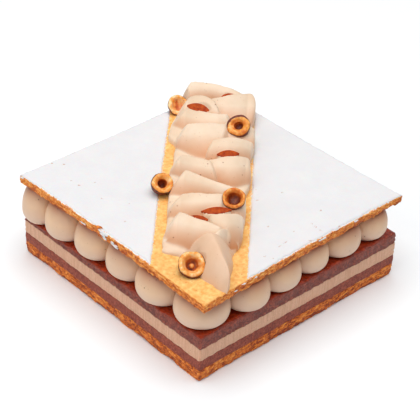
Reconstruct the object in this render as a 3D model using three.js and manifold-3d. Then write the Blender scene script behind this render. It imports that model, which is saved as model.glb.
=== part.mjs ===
// A square mille-feuille: a puff pastry base, two chocolate layers round a praline cream,
// a ring of piped cream balls and a top pastry sheet that carries icing sugar,
// a piped cream ruffle, pools of caramel and halved hazelnuts.
// Millimetres, +Z up, origin at the centre of the underside, -X-Y is the front corner.
import * as THREE from 'three';
import { mergeVertices } from 'three/addons/utils/BufferGeometryUtils.js';
import Module from 'manifold-3d';

const wasm = await Module();
wasm.setup();

// ---------------------------------------------------------------- driving dimensions

const CAKE_SIDE = 160;
const CAKE_CORNER_RADIUS = 1.2;
const CAKE_CORNER_STEPS = 3;
const CRUST_TOP = 8.4;
const LOWER_CHOCOLATE_TOP = 15.0;
const PRALINE_TOP = 23.4;
const UPPER_CHOCOLATE_TOP = 30.7;
const LEFT_CORNER_SLUMP = 5.6;
const SHEET_BOTTOM = 50.9;
const SHEET_TOP = 56.8;
const GAP = 0.3;

// Corners of the top sheet, which was cut a little out of square, and how far its sides
// are drawn in halfway between them.
const SHEET_CORNERS = [[-81.1, -82.6], [81.8, -78.3], [79.0, 82.5], [-82.0, 80.5]];
const SHEET_BOW = 1.3;

// How far the flakes, lumps and bites of the cut pastry stand in or out, and how much
// narrower the slab is at its underside.
const BASE_RAGGED = { flake: 0.75, lump: 0.5, undercut: 1.1, inset: 0.2 };
const SHEET_RAGGED = { flake: 0.55, bite: 2.6, rareness: 0.2, undercut: 1.3 };
const PASTRY_STEP = 5;
const BASE_LEAVES = 4;
const SHEET_LEAVES = 3;

const ICING_THICKNESS = 0.5;
const ICING_INSET = 0.9;
const STRIP_LEFT = -31.2;
const STRIP_RIGHT = 24.0;

// Balls that show on the two front sides, from the left corner round to the right one.
const FRONT_BALLS = [
  { x: -72.5, y: 72.5, radius: 11.5 },
  { x: -70.5, y: 49.4, radius: 13.6 },
  { x: -68.3, y: 22.5, radius: 14.6 },
  { x: -67.5, y: -5.4, radius: 14.6 },
  { x: -68.3, y: -34.7, radius: 15.9 },
  { x: -66.0, y: -65.0, radius: 16.1 },
  { x: -37.5, y: -69.8, radius: 14.4 },
  { x: -10.9, y: -69.0, radius: 13.7 },
  { x: 14.2, y: -67.8, radius: 12.7 },
  { x: 39.8, y: -67.3, radius: 14.1 },
  { x: 65.0, y: -67.9, radius: 12.4 },
];
const BACK_ROW_INSET = 67.5;
const BACK_ROW_RADIUS = 13.8;
const BACK_ROW_BALLS = 5;
const BACK_ROW_UNEVEN = { along: 0.8, across: 1, radius: 0.9 };
const CORE_SIDE = 103;

// A ball is widest at its belly, this far above its foot, and is cut at these shares of the way
// down to the foot and up to the top, where it meets the glaze and the sheet.
const BALL_CONTACT = 0.66;
const BALL_TOP_CONTACT = 0.5;
const BALL_ROUNDNESS = 2.4;
const BALL_BELLY = 8;
const BALL_SINK = 0.6;
const BALL_SIDES = 12;
const BALL_RINGS = 6;

// Room that a cutting block takes beyond the piece that it cuts.
const BEYOND = 80;

// ---------------------------------------------------------------- helpers

function seededRandom(seed) {
  let state = seed;
  return () => {
    state = (state * 1664525 + 1013904223) % 4294967296;
    return state / 4294967296;
  };
}

// Smooth noise that repeats after the given number of knots, between -1 and 1.
function loopNoise(seed, knots) {
  const random = seededRandom(seed);
  const values = Array.from({ length: knots }, () => 2 * random() - 1);
  return (turn) => {
    const place = (((turn % 1) + 1) % 1) * knots;
    const first = Math.floor(place) % knots;
    const share = place - Math.floor(place);
    const ease = share * share * (3 - 2 * share);
    return values[first] * (1 - ease) + values[(first + 1) % knots] * ease;
  };
}

function superellipse(share, power) {
  return Math.pow(Math.max(0, 1 - Math.pow(Math.abs(share), power)), 1 / power);
}

function merged(geometry) {
  const bare = geometry.clone();
  bare.deleteAttribute('normal');
  bare.deleteAttribute('uv');
  return mergeVertices(bare, 1e-4);
}

function toSolid(geometry) {
  const shape = merged(geometry);
  return new wasm.Manifold(new wasm.Mesh({
    numProp: 3,
    vertProperties: Float32Array.from(shape.attributes.position.array),
    triVerts: Uint32Array.from(shape.index.array),
  }));
}

function toGeometry(solid) {
  const mesh = solid.getMesh();
  const geometry = new THREE.BufferGeometry();
  geometry.setAttribute('position', new THREE.BufferAttribute(mesh.vertProperties, 3));
  geometry.setIndex(new THREE.BufferAttribute(mesh.triVerts, 1));
  geometry.computeVertexNormals();
  return geometry;
}

// Turns geometry of the diagonal frame (X towards the rear corner, Y to the left) into the cake's.
function fromDiagonal(geometry) {
  return geometry.rotateZ(Math.PI / 4);
}

function polygon(points) {
  return new THREE.Shape(points.map(([x, y]) => new THREE.Vector2(x, y)));
}

const cake = new THREE.Group();

function addPart(name, geometry, color, roughness) {
  const material = new THREE.MeshStandardMaterial({ color, roughness, metalness: 0 });
  const mesh = new THREE.Mesh(geometry, material);
  mesh.name = name;
  cake.add(mesh);
}

// ---------------------------------------------------------------- cut layers

// Height of the glazed top of the upper chocolate layer, which slumps to the left corner.
function glazeHeight(x, y) {
  const toLeft = (CAKE_SIDE / 2 - x) / CAKE_SIDE;
  const toRear = (y + CAKE_SIDE / 2) / CAKE_SIDE;
  return UPPER_CHOCOLATE_TOP - LEFT_CORNER_SLUMP * toLeft * toRear;
}

function roundedSquare(side, radius) {
  const half = side / 2;
  const inner = half - radius;
  const shape = new THREE.Shape();
  shape.moveTo(-inner, -half);
  shape.absarc(inner, -inner, radius, -Math.PI / 2, 0, false);
  shape.absarc(inner, inner, radius, 0, Math.PI / 2, false);
  shape.absarc(-inner, inner, radius, Math.PI / 2, Math.PI, false);
  shape.absarc(-inner, -inner, radius, Math.PI, 1.5 * Math.PI, false);
  return shape;
}

function layerSlab(bottom, top) {
  const shape = roundedSquare(CAKE_SIDE, CAKE_CORNER_RADIUS);
  const options = { depth: top - bottom, bevelEnabled: false, curveSegments: CAKE_CORNER_STEPS };
  return new THREE.ExtrudeGeometry(shape, options).translate(0, 0, bottom);
}

// A slab over the whole cake whose upper face follows the glaze, raised by a clearance.
function glazedSlab(bottom, side, clearance) {
  const cells = 4;
  const slab = merged(new THREE.BoxGeometry(side, side, 1, cells, cells, 1));
  const position = slab.attributes.position;
  for (let i = 0; i < position.count; i += 1) {
    const isTop = position.getZ(i) > 0;
    const top = glazeHeight(position.getX(i), position.getY(i)) + clearance;
    position.setZ(i, isTop ? top : bottom);
  }
  return slab;
}

// ---------------------------------------------------------------- ragged pastry

// The outline of a four-cornered sheet in steps along its sides.
function steppedOutline(corners, step) {
  const points = [];
  corners.forEach(([x, y], index) => {
    const [nextX, nextY] = corners[(index + 1) % corners.length];
    const steps = Math.round(Math.hypot(nextX - x, nextY - y) / step);
    for (let k = 0; k < steps; k += 1) {
      const share = k / steps;
      points.push([x + (nextX - x) * share, y + (nextY - y) * share]);
    }
  });
  return points;
}

// Draws the sides of a sheet in between its corners.
function bowed([x, y]) {
  const [toSide, toEnd] = [x, y].map((value) => value / (CAKE_SIDE / 2));
  const pullX = SHEET_BOW * Math.max(0, 1 - toEnd * toEnd) * Math.pow(toSide, 3);
  const pullY = SHEET_BOW * Math.max(0, 1 - toSide * toSide) * Math.pow(toEnd, 3);
  return [x - pullX, y - pullY];
}

// A pastry slab with flaky sides. ragged(turn, rise) says how far the side stands out
// at a place round the outline (0 to 1) and a height in the slab (0 to 1).
function pastrySlab(outline, bottom, top, leaves, ragged) {
  const options = { depth: top - bottom, steps: leaves, bevelEnabled: false };
  const slab = merged(new THREE.ExtrudeGeometry(polygon(outline), options));
  const position = slab.attributes.position;
  const turnAt = (x, y) => {
    const away = outline.map((point) => Math.hypot(point[0] - x, point[1] - y));
    return away.indexOf(Math.min(...away)) / outline.length;
  };
  for (let i = 0; i < position.count; i += 1) {
    const x = position.getX(i);
    const y = position.getY(i);
    const rise = Math.min(1, position.getZ(i) / (top - bottom));
    const push = ragged(turnAt(x, y), rise) / Math.max(Math.abs(x), Math.abs(y));
    position.setXYZ(i, x * (1 + push), y * (1 + push), position.getZ(i) + bottom);
  }
  return slab;
}

const baseFlakes = [11, 12, 13, 14, 15].map((seed) => loopNoise(seed, 96));
const baseLumps = loopNoise(21, 40);
function baseRelief(turn, rise) {
  const flake = BASE_RAGGED.flake * baseFlakes[Math.round(rise * BASE_LEAVES)](turn);
  const lump = BASE_RAGGED.lump * baseLumps(turn);
  const undercut = BASE_RAGGED.undercut * Math.pow(1 - rise, 3);
  return flake + lump - undercut - BASE_RAGGED.inset;
}

const sheetFlakes = [31, 32, 33, 34].map((seed) => loopNoise(seed, 110));
const sheetBites = loopNoise(41, 64);
function sheetRelief(turn, rise) {
  const fall = 1 - rise;
  const flake = SHEET_RAGGED.flake * sheetFlakes[Math.round(rise * SHEET_LEAVES)](turn);
  const bitten = Math.max(0, sheetBites(turn) - SHEET_RAGGED.rareness);
  const bite = SHEET_RAGGED.bite * bitten * Math.pow(fall, 1.5);
  const undercut = SHEET_RAGGED.undercut * Math.pow(fall, 2);
  return flake * (0.5 + 0.7 * fall) - bite - undercut;
}

// ---------------------------------------------------------------- piped balls

function ballProfile(height, radius) {
  const points = [new THREE.Vector2(0, 0)];
  for (let k = 0; k <= BALL_RINGS; k += 1) {
    const rise = (2 * k) / BALL_RINGS - 1;
    const contact = rise < 0 ? BALL_CONTACT : BALL_TOP_CONTACT;
    const reach = superellipse(contact, BALL_ROUNDNESS);
    const width = radius * superellipse(rise * reach, BALL_ROUNDNESS);
    const above = rise < 0 ? BALL_BELLY : height - BALL_BELLY;
    points.push(new THREE.Vector2(width, BALL_BELLY + rise * above));
  }
  points.push(new THREE.Vector2(0, height));
  return points;
}

function ballGeometry(ball) {
  const bottom = glazeHeight(ball.x, ball.y) - BALL_SINK;
  const profile = ballProfile(SHEET_BOTTOM - bottom, ball.radius);
  const lathe = new THREE.LatheGeometry(profile, BALL_SIDES);
  return lathe.rotateX(Math.PI / 2).translate(ball.x, ball.y, bottom);
}

// The two rear rows, which follow the front ones in spacing and unevenness.
function rearBalls() {
  const random = seededRandom(5);
  const uneven = (range) => (2 * random() - 1) * range;
  const balls = [];
  const spacing = (2 * BACK_ROW_INSET) / BACK_ROW_BALLS;
  for (let k = 1; k <= BACK_ROW_BALLS; k += 1) {
    const x = -BACK_ROW_INSET + spacing * k + uneven(BACK_ROW_UNEVEN.along);
    const y = BACK_ROW_INSET + uneven(BACK_ROW_UNEVEN.across);
    balls.push({ x, y, radius: BACK_ROW_RADIUS + uneven(BACK_ROW_UNEVEN.radius) });
  }
  for (let k = 1; k < BACK_ROW_BALLS; k += 1) {
    const x = BACK_ROW_INSET + uneven(BACK_ROW_UNEVEN.across);
    const y = BACK_ROW_INSET - spacing * k + uneven(BACK_ROW_UNEVEN.along);
    balls.push({ x, y, radius: BACK_ROW_RADIUS + uneven(BACK_ROW_UNEVEN.radius) });
  }
  return balls;
}

// A block that holds everything beyond the flat contact between one ball and its neighbour.
function beyondContact(ball, neighbour) {
  const dx = neighbour.x - ball.x;
  const dy = neighbour.y - ball.y;
  const distance = Math.hypot(dx, dy);
  const share = ball.radius / (ball.radius + neighbour.radius);
  const reach = distance * share - GAP / 2;
  const block = new THREE.BoxGeometry(BEYOND, BEYOND, BEYOND);
  block.translate(reach + BEYOND / 2, 0, BEYOND / 2);
  return block.rotateZ(Math.atan2(dy, dx)).translate(ball.x, ball.y, 0);
}

// ---------------------------------------------------------------- piped ruffle

// Every petal of the ruffle is one stroke of the bag. crest holds the left end, middle and right
// end of its sharp upper edge as [towards the rear corner, towards the right corner, height above
// the sheet]. foot holds the three places below them where its full front face meets the cream in
// front. rear is how far it runs out behind the crest.
const PETALS = [
  { crest: [[90, -19, 18], [91, -13, 18], [89, -4, 16]],
    foot: [[76, -22], [77, -11], [80, -2]], rear: 7 },
  { crest: [[90, -8, 17], [87, 4, 15], [84, 14, 13]],
    foot: [[79, -3], [78, 7], [74, 21]], rear: 6 },
  { crest: [[77, -16, 15], [75, -11, 17], [69, -3, 16]],
    foot: [[60, -24], [57, -13], [56, 2]], rear: 6 },
  { crest: [[74, -2, 16], [79, 8, 16], [84, 15, 13]],
    foot: [[60, 3], [54, 12], [58, 22]], rear: 4 },
  { crest: [[64, -18, 13], [60, -12, 15], [56, -5, 15]],
    foot: [[54, -26], [46, -20], [50, -3]], rear: 4 },
  { crest: [[42, -17, 16], [43, -8, 17], [45, 3, 16]],
    foot: [[32, -23], [21, -14], [18, -5]], rear: 8 },
  { crest: [[50, 6, 14], [52, 12, 14], [50, 20, 13]],
    foot: [[34, 4], [32, 12], [34, 23]], rear: 10 },
  { crest: [[27, 1, 16], [29, 9, 16], [29, 17, 14]],
    foot: [[15, -4], [16, 8], [23, 22]], rear: 8 },
  { crest: [[9, -18, 14], [4, -9, 16], [3, -1, 16]],
    foot: [[2, -25], [-6, -13], [-10, 3]], rear: 9 },
  { crest: [[3, 0, 16], [4, 8, 17], [9, 17, 16]],
    foot: [[-11, 3], [-11, 12], [-5, 22]], rear: 5 },
  { crest: [[-10, -17, 15], [-21, -2, 17], [-24, 18, 15]],
    foot: [[-20, -24], [-24, -7], [-33, 17]], rear: 8 },
  { crest: [[-32, -18, 14], [-33, -7, 16], [-31, 3, 16]],
    foot: [[-40, -22], [-46, -11], [-44, -2]], rear: 8 },
  { crest: [[-28, 8, 13], [-28, 13, 13], [-27, 19, 11]],
    foot: [[-40, 8], [-42, 13], [-41, 21]], rear: 8 },
  { crest: [[-51, -17, 15], [-58, -8, 17], [-61, 2, 17]],
    foot: [[-66, -22], [-72, -14], [-70, -1]], rear: 5 },
  { crest: [[-55, -2, 16], [-54, 7, 17], [-49, 16, 16]],
    foot: [[-65, 4], [-68, 13], [-60, 20]], rear: 6 },
  { crest: [[-70, 4, 15], [-66, 7, 16], [-62, 10, 13]],
    foot: [[-78, 7], [-74, 10], [-67, 13]], rear: 4 },
];
// The tail where the bag was pulled away, its crest along the strip, its broad face to the left.
const TAIL = {
  crest: [[-70, 2, 17], [-86, 9, 14], [-100, 12, 8]],
  foot: [[-71, -9], [-89, -3], [-101, 7]],
  rear: 4,
};
// Low flange of cream that spreads on the pastry in front of the ruffle.
const FLANGES = [
  { crest: [[-56, -20, 4], [-62, -12, 4], [-64, -4, 4]],
    foot: [[-72, -24], [-77, -14], [-76, -5]], rear: 20 },
  { crest: [[-56, 8, 4], [-58, 12, 4], [-54, 17, 4]],
    foot: [[-70, 8], [-69, 14], [-62, 20]], rear: 14 },
];
const RUFFLE_BED = { front: -66, rear: 92, left: -23.5, right: 22, height: 5, squareness: 5 };

// Along a petal the three given places are its left shoulder, middle and right shoulder.
const PETAL_SHOULDER = 0.8;
const PETAL_BLUNTNESS = 4.5;
// How the face bulges from the crest to the foot, how far it reaches past the foot, and where
// the underside runs between the foot and the back.
const PETAL_FACE = { ahead: 1.04, outward: 0.9, upward: 0.8 };
const PETAL_BACK = { outward: 1.4, upward: 1.2 };
const PETAL_UNDERSIDE = { middle: 0.4, rear: 0.5 };
const PETAL_STEPS = { front: 5, rear: 3, across: 9 };
const FLANGE_STEPS = { front: 3, rear: 2, across: 8 };

// Curve through three values at the left shoulder, the middle and the right shoulder.
function throughThree([left, middle, right], lateral) {
  const t = lateral / PETAL_SHOULDER;
  return middle + ((right - left) / 2) * t + ((left + right) / 2 - middle) * t * t;
}

function petalGeometry(petal, steps) {
  const around = steps.front + steps.rear + 2;
  const shape = merged(new THREE.SphereGeometry(1, around, steps.across));
  const position = shape.attributes.position;
  const [leftEnd, , rightEnd] = petal.crest;
  const width = Math.hypot(rightEnd[0] - leftEnd[0], rightEnd[1] - leftEnd[1]);
  const behind = [(rightEnd[1] - leftEnd[1]) / width, (leftEnd[0] - rightEnd[0]) / width];
  const at = (points, axis, lateral) => throughThree(points.map((point) => point[axis]), lateral);
  for (let i = 0; i < position.count; i += 1) {
    const lateral = -position.getY(i);
    const angle = Math.atan2(position.getZ(i), -position.getX(i));
    const step = Math.round((angle / (2 * Math.PI)) * around + around) % around;
    const isPole = Math.hypot(position.getX(i), position.getZ(i)) < 1e-6;
    const size = isPole ? 0 : superellipse(lateral, PETAL_BLUNTNESS);
    const crest = [at(petal.crest, 0, lateral), at(petal.crest, 1, lateral)];
    const foot = [at(petal.foot, 0, lateral), at(petal.foot, 1, lateral)];
    const rise = at(petal.crest, 2, lateral);
    let ahead = PETAL_UNDERSIDE.middle;
    let back = 0;
    let lift = 0;
    if (!isPole && step <= steps.front) {
      const sweep = (step / steps.front) * (Math.PI / 2);
      ahead = PETAL_FACE.ahead * Math.pow(Math.cos(sweep), PETAL_FACE.outward);
      lift = rise * Math.pow(Math.sin(sweep), PETAL_FACE.upward);
    } else if (!isPole && step === around - 1) {
      ahead = PETAL_UNDERSIDE.rear;
    } else if (!isPole) {
      const sweep = ((step - steps.front) / steps.rear) * (Math.PI / 2);
      ahead = 0;
      back = petal.rear * Math.pow(Math.sin(sweep), PETAL_BACK.outward);
      lift = rise * Math.pow(Math.max(0, Math.cos(sweep)), PETAL_BACK.upward);
    }
    const u = crest[0] + (foot[0] - crest[0]) * ahead + behind[0] * back;
    const v = crest[1] + (foot[1] - crest[1]) * ahead + behind[1] * back;
    position.setXYZ(i, u, -v, lift * size);
  }
  return shape;
}

function bedGeometry() {
  const length = RUFFLE_BED.rear - RUFFLE_BED.front;
  const width = RUFFLE_BED.right - RUFFLE_BED.left;
  const bed = merged(new THREE.CylinderGeometry(0.47, 0.5, RUFFLE_BED.height, 40, 1));
  const power = RUFFLE_BED.squareness;
  bed.rotateX(Math.PI / 2);
  const position = bed.attributes.position;
  for (let i = 0; i < position.count; i += 1) {
    const angle = Math.atan2(position.getY(i), position.getX(i));
    const radius = Math.hypot(position.getX(i), position.getY(i));
    const round = Math.abs(Math.cos(angle)) ** power + Math.abs(Math.sin(angle)) ** power;
    const reach = radius / Math.pow(round, 1 / power);
    position.setX(i, reach * Math.cos(angle) * length);
    position.setY(i, reach * Math.sin(angle) * width);
  }
  const middle = [(RUFFLE_BED.rear + RUFFLE_BED.front) / 2, -(RUFFLE_BED.left + RUFFLE_BED.right) / 2];
  return bed.translate(middle[0], middle[1], RUFFLE_BED.height / 2);
}

// ---------------------------------------------------------------- caramel pools

// Pools in the hollows of the ruffle: centre [towards the rear corner, towards the right corner],
// height of the surface above the sheet, half length, half width and turn in degrees.
const POOLS = [
  { at: [83.2, 5.2], surface: 13, half: [4.6, 1.9], turn: 20 },
  { at: [66.2, -11.9], surface: 12.8, half: [7.6, 3.0], turn: -12 },
  { at: [17, 8.2], surface: 12.4, half: [6.8, 2.8], turn: 7 },
  { at: [-42, 3.8], surface: 12.2, half: [8.8, 2.6], turn: 8 },
  { at: [-52.2, -5.4], surface: 12.5, half: [5.8, 1.9], turn: -10 },
];
const POOL_DEPTH = 3;
const POOL_CUP_WALL = 0.8;
const POOL_CLEAR_HEIGHT = 9;

function poolColumn(pool, grow, bottom, top) {
  const column = new THREE.CylinderGeometry(1, 1, top - bottom, 16, 1);
  column.rotateX(Math.PI / 2).scale(pool.half[1] + grow, pool.half[0] + grow, 1);
  column.rotateZ((pool.turn * Math.PI) / 180);
  return column.translate(pool.at[0], -pool.at[1], (top + bottom) / 2);
}

// ---------------------------------------------------------------- hazelnut halves

// Centre of the cut face as [towards rear, towards right, height above the sheet], radius, depth
// of the round back as a share of it, and where the cut face looks: degrees it leans over and
// the direction it leans to, counted from the front corner towards the right corner.
const HAZELNUTS = [
  { at: [-86.8, -7.4, 5.6], radius: 7.8, depth: 0.86, lean: 33, towards: -8 },
  { at: [-12.4, -29.0, 8.0], radius: 6.6, depth: 1.25, lean: 36, towards: -20 },
  { at: [-32.8, 13.4, 14.6], radius: 6.9, depth: 0.86, lean: 26, towards: 5 },
  { at: [44.6, 13.4, 15.6], radius: 7.2, depth: 0.86, lean: 36, towards: 22 },
  { at: [81.3, -25.4, 5.2], radius: 6.6, depth: 0.86, lean: 42, towards: -20 },
];
// Shares of a half's radius: the rim, then the cut flesh inside it and the hollow of the
// kernel, each as [distance from the middle, height over the cut].
const NUT_RIM = [0.86, 0.1];
const NUT_FLESH = [[0.52, 0.02], [0.34, -0.38], [0, -0.48]];
const NUT_SIDES = 12;
const NUT_BACK_STEPS = 5;

// Profile of a half: the round back and the rim, then the places given for its cut side.
function nutProfile(nut, grow, cutSide) {
  const radius = nut.radius + grow;
  const points = [];
  for (let k = 0; k <= NUT_BACK_STEPS; k += 1) {
    const sweep = (k / NUT_BACK_STEPS) * (Math.PI / 2);
    points.push([Math.sin(sweep), -nut.depth * Math.cos(sweep)]);
  }
  points.push(NUT_RIM, ...cutSide);
  return points.map(([across, height]) => new THREE.Vector2(across * radius, height * radius));
}

function placedNut(nut, profile) {
  const lathe = new THREE.LatheGeometry(profile, NUT_SIDES);
  lathe.rotateX(Math.PI / 2);
  lathe.rotateY((-nut.lean * Math.PI) / 180);
  lathe.rotateZ((-nut.towards * Math.PI) / 180);
  return lathe.translate(nut.at[0], -nut.at[1], nut.at[2]);
}

// ---------------------------------------------------------------- icing sugar

// Dusted triangle on one side of the bare strip, in the diagonal frame.
function icingPolygon(side) {
  const inward = 1 - ICING_INSET / (CAKE_SIDE / 2);
  const corners = SHEET_CORNERS.map(([x, y]) => {
    const toRear = ((x + y) / Math.SQRT2) * inward;
    const toLeft = ((y - x) / Math.SQRT2) * inward;
    return new THREE.Vector2(toRear, toLeft);
  });
  const [front, right, rear, left] = corners;
  const tip = side === 'left' ? left : right;
  const edge = side === 'left' ? -STRIP_LEFT : -STRIP_RIGHT;
  const cross = (end) => {
    const share = (tip.y - edge) / (tip.y - end.y);
    return tip.clone().lerp(end, share);
  };
  const outline = [cross(front), tip, cross(rear)];
  return new THREE.Shape(side === 'left' ? outline.reverse() : outline);
}

function icingGeometry(side) {
  return new THREE.ExtrudeGeometry(icingPolygon(side), { depth: ICING_THICKNESS, bevelEnabled: false });
}

// ---------------------------------------------------------------- assembly

const colors = {
  pastry: '#d9893a',
  chocolate: '#8c4c3e',
  praline: '#cba187',
  cream: '#d9b792',
  icing: '#f1f0f0',
  caramel: '#b8430c',
  hazelnut: '#e9a24c',
};

const squareCorners = [[-1, -1], [1, -1], [1, 1], [-1, 1]];
const baseCorners = squareCorners.map(([x, y]) => [(x * CAKE_SIDE) / 2, (y * CAKE_SIDE) / 2]);
const baseOutline = steppedOutline(baseCorners, PASTRY_STEP);
const baseCrust = pastrySlab(baseOutline, 0, CRUST_TOP, BASE_LEAVES, baseRelief);
addPart('base_crust', baseCrust, colors.pastry, 0.75);
const lowerLayer = layerSlab(CRUST_TOP, LOWER_CHOCOLATE_TOP);
addPart('lower_chocolate_layer', lowerLayer, colors.chocolate, 0.5);
const pralineLayer = layerSlab(LOWER_CHOCOLATE_TOP, PRALINE_TOP);
addPart('praline_cream_layer', pralineLayer, colors.praline, 0.6);
const upperBlock = toSolid(layerSlab(PRALINE_TOP, UPPER_CHOCOLATE_TOP + BEYOND));
const upperLayer = upperBlock.intersect(toSolid(glazedSlab(0, CAKE_SIDE + BEYOND, 0)));
addPart('upper_chocolate_layer', toGeometry(upperLayer), colors.chocolate, 0.25);

const glazeClearance = toSolid(glazedSlab(0, CAKE_SIDE + BEYOND, GAP));
const balls = [...FRONT_BALLS, ...rearBalls()];
balls.forEach((ball, index) => {
  let solid = toSolid(ballGeometry(ball)).subtract(glazeClearance);
  balls.forEach((other) => {
    const distance = Math.hypot(other.x - ball.x, other.y - ball.y);
    if (other !== ball && distance < ball.radius + other.radius + GAP) {
      solid = solid.subtract(toSolid(beyondContact(ball, other)));
    }
  });
  addPart(`cream_ball_${String(index + 1).padStart(2, '0')}`, toGeometry(solid), colors.cream, 0.6);
});

const coreBlock = new THREE.BoxGeometry(CORE_SIDE, CORE_SIDE, SHEET_BOTTOM - PRALINE_TOP);
coreBlock.translate(0, 0, (SHEET_BOTTOM + PRALINE_TOP) / 2);
addPart('cream_core', toGeometry(toSolid(coreBlock).subtract(glazeClearance)), colors.cream, 0.6);

const sheetOutline = steppedOutline(SHEET_CORNERS, PASTRY_STEP).map(bowed);
const topSheet = pastrySlab(sheetOutline, SHEET_BOTTOM, SHEET_TOP, SHEET_LEAVES, sheetRelief);
addPart('top_pastry_sheet', topSheet, colors.pastry, 0.75);

const onSheet = (solid) => fromDiagonal(toGeometry(solid)).translate(0, 0, SHEET_TOP);
const belowSheetBlock = new THREE.BoxGeometry(2 * CAKE_SIDE, 2 * CAKE_SIDE, BEYOND);
const belowSheet = toSolid(belowSheetBlock.translate(0, 0, -BEYOND / 2));
const nutSolids = HAZELNUTS.map((nut) => {
  const whole = toSolid(placedNut(nut, nutProfile(nut, 0, NUT_FLESH)));
  return whole.subtract(belowSheet);
});
const nutRoom = HAZELNUTS.map((nut) => {
  const closed = nutProfile(nut, GAP, [[0, NUT_RIM[1]]]);
  return toSolid(placedNut(nut, closed));
});

const strokes = [...PETALS, TAIL].map((petal) => toSolid(petalGeometry(petal, PETAL_STEPS)));
const flanges = FLANGES.map((petal) => toSolid(petalGeometry(petal, FLANGE_STEPS)));
let ruffle = toSolid(bedGeometry());
[...strokes, ...flanges].forEach((stroke) => {
  ruffle = ruffle.add(stroke);
});
POOLS.forEach((pool) => {
  const bottom = pool.surface - POOL_DEPTH - GAP;
  const cup = toSolid(poolColumn(pool, POOL_CUP_WALL, 0, pool.surface - GAP));
  const room = toSolid(poolColumn(pool, GAP, bottom, pool.surface + POOL_CLEAR_HEIGHT));
  ruffle = ruffle.add(cup).subtract(room);
});
nutRoom.forEach((room) => {
  ruffle = ruffle.subtract(room);
});
const overIcing = new THREE.BoxGeometry(2 * CAKE_SIDE, BEYOND, 2 * (ICING_THICKNESS + GAP));
overIcing.translate(0, GAP - STRIP_RIGHT - BEYOND / 2, 0);
ruffle = ruffle.subtract(toSolid(overIcing));
const pieces = ruffle.decompose().sort((a, b) => b.volume() - a.volume());
addPart('cream_ruffle', onSheet(pieces[0]), colors.cream, 0.6);

['left', 'right'].forEach((side) => {
  let icing = toSolid(icingGeometry(side));
  nutRoom.forEach((room) => {
    icing = icing.subtract(room);
  });
  addPart(`icing_sugar_${side}`, onSheet(icing), colors.icing, 0.9);
});

POOLS.forEach((pool, index) => {
  const solid = toSolid(poolColumn(pool, 0, pool.surface - POOL_DEPTH, pool.surface));
  addPart(`caramel_pool_${index + 1}`, onSheet(solid), colors.caramel, 0.15);
});

nutSolids.forEach((solid, index) => {
  addPart(`hazelnut_half_${index + 1}`, onSheet(solid), colors.hazelnut, 0.5);
});

export default cake;
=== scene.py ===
"""A square mille-feuille on a white studio floor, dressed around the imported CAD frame.

Sizes are in millimetres until a mesh is made, which puts them in metres. The cake stands on z = 0
with its centre at the origin. u runs along its diagonal from the front corner to the rear one and
v runs along the other diagonal, from the left corner to the right one.
"""

import math

import bpy
import numpy as np
from mathutils import Matrix, Vector


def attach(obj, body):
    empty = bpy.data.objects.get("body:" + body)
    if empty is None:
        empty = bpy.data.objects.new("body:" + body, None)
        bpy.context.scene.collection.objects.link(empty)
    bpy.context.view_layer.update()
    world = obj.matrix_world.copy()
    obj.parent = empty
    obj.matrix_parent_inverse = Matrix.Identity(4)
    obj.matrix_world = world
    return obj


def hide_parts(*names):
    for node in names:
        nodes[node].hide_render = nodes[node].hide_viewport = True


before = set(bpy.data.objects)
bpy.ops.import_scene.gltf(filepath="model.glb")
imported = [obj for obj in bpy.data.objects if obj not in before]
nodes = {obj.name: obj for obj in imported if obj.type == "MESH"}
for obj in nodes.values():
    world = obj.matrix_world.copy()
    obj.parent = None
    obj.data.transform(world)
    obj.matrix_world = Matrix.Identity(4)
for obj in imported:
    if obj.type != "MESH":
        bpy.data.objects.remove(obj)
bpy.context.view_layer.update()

MM = 0.001

# -------- sizes read from the frame


def cad_points(node):
    """The vertices of a CAD node, in millimetres."""
    mesh = nodes[node].data
    flat = np.zeros(len(mesh.vertices) * 3)
    mesh.vertices.foreach_get("co", flat)
    return flat.reshape(-1, 3) / MM


def heights(node):
    """The lowest and the highest z of a CAD node."""
    z = cad_points(node)[:, 2]
    return z.min(), z.max()


def along_u(points):
    return (points[:, 0] + points[:, 1]) / math.sqrt(2)


def along_v(points):
    return (points[:, 0] - points[:, 1]) / math.sqrt(2)


def corners_of(node):
    """Plan corners of a four-cornered node: front, right, rear and left."""
    points = cad_points(node)
    u, v = along_u(points), along_v(points)
    picks = [np.argmin(u), np.argmax(v), np.argmax(u), np.argmin(v)]
    return np.array([points[i, :2] for i in picks])


HALF_SIDE = cad_points("praline_cream_layer")[:, 0].max()
CRUST_TOP = heights("base_crust")[1]
PRALINE_BOTTOM, PRALINE_TOP = heights("praline_cream_layer")
GLAZE_TOP = heights("upper_chocolate_layer")[1]
SHEET_BOTTOM, SHEET_TOP = heights("top_pastry_sheet")
ICING_TOP = heights("icing_sugar_left")[1]
SHEET_CORNERS = corners_of("top_pastry_sheet")
STRIP_LEFT = along_v(cad_points("icing_sugar_left")).max()
STRIP_RIGHT = along_v(cad_points("icing_sugar_right")).min()


def slump_share(x, y):
    """1 at the left corner of the cake's plan, and 0 along the two sides that don't meet it."""
    return (HALF_SIDE - x) * (y + HALF_SIDE) / (2 * HALF_SIDE) ** 2


def left_corner_slump():
    """How much lower the glazed top is at the left corner than at the other three."""
    points = cad_points("upper_chocolate_layer")
    on_top = points[:, 2] > PRALINE_TOP + 0.1
    inside = np.abs(points[:, :2]).max(axis=1) < 0.9 * HALF_SIDE
    x, y, z = points[on_top & inside].T
    return -np.polyfit(slump_share(x, y), z, 1)[0]


SLUMP = left_corner_slump()


def glaze_height(x, y):
    """Height of the glazed top, which slumps towards the left corner."""
    return GLAZE_TOP - SLUMP * slump_share(x, y)


# -------- repeatable noise


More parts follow.
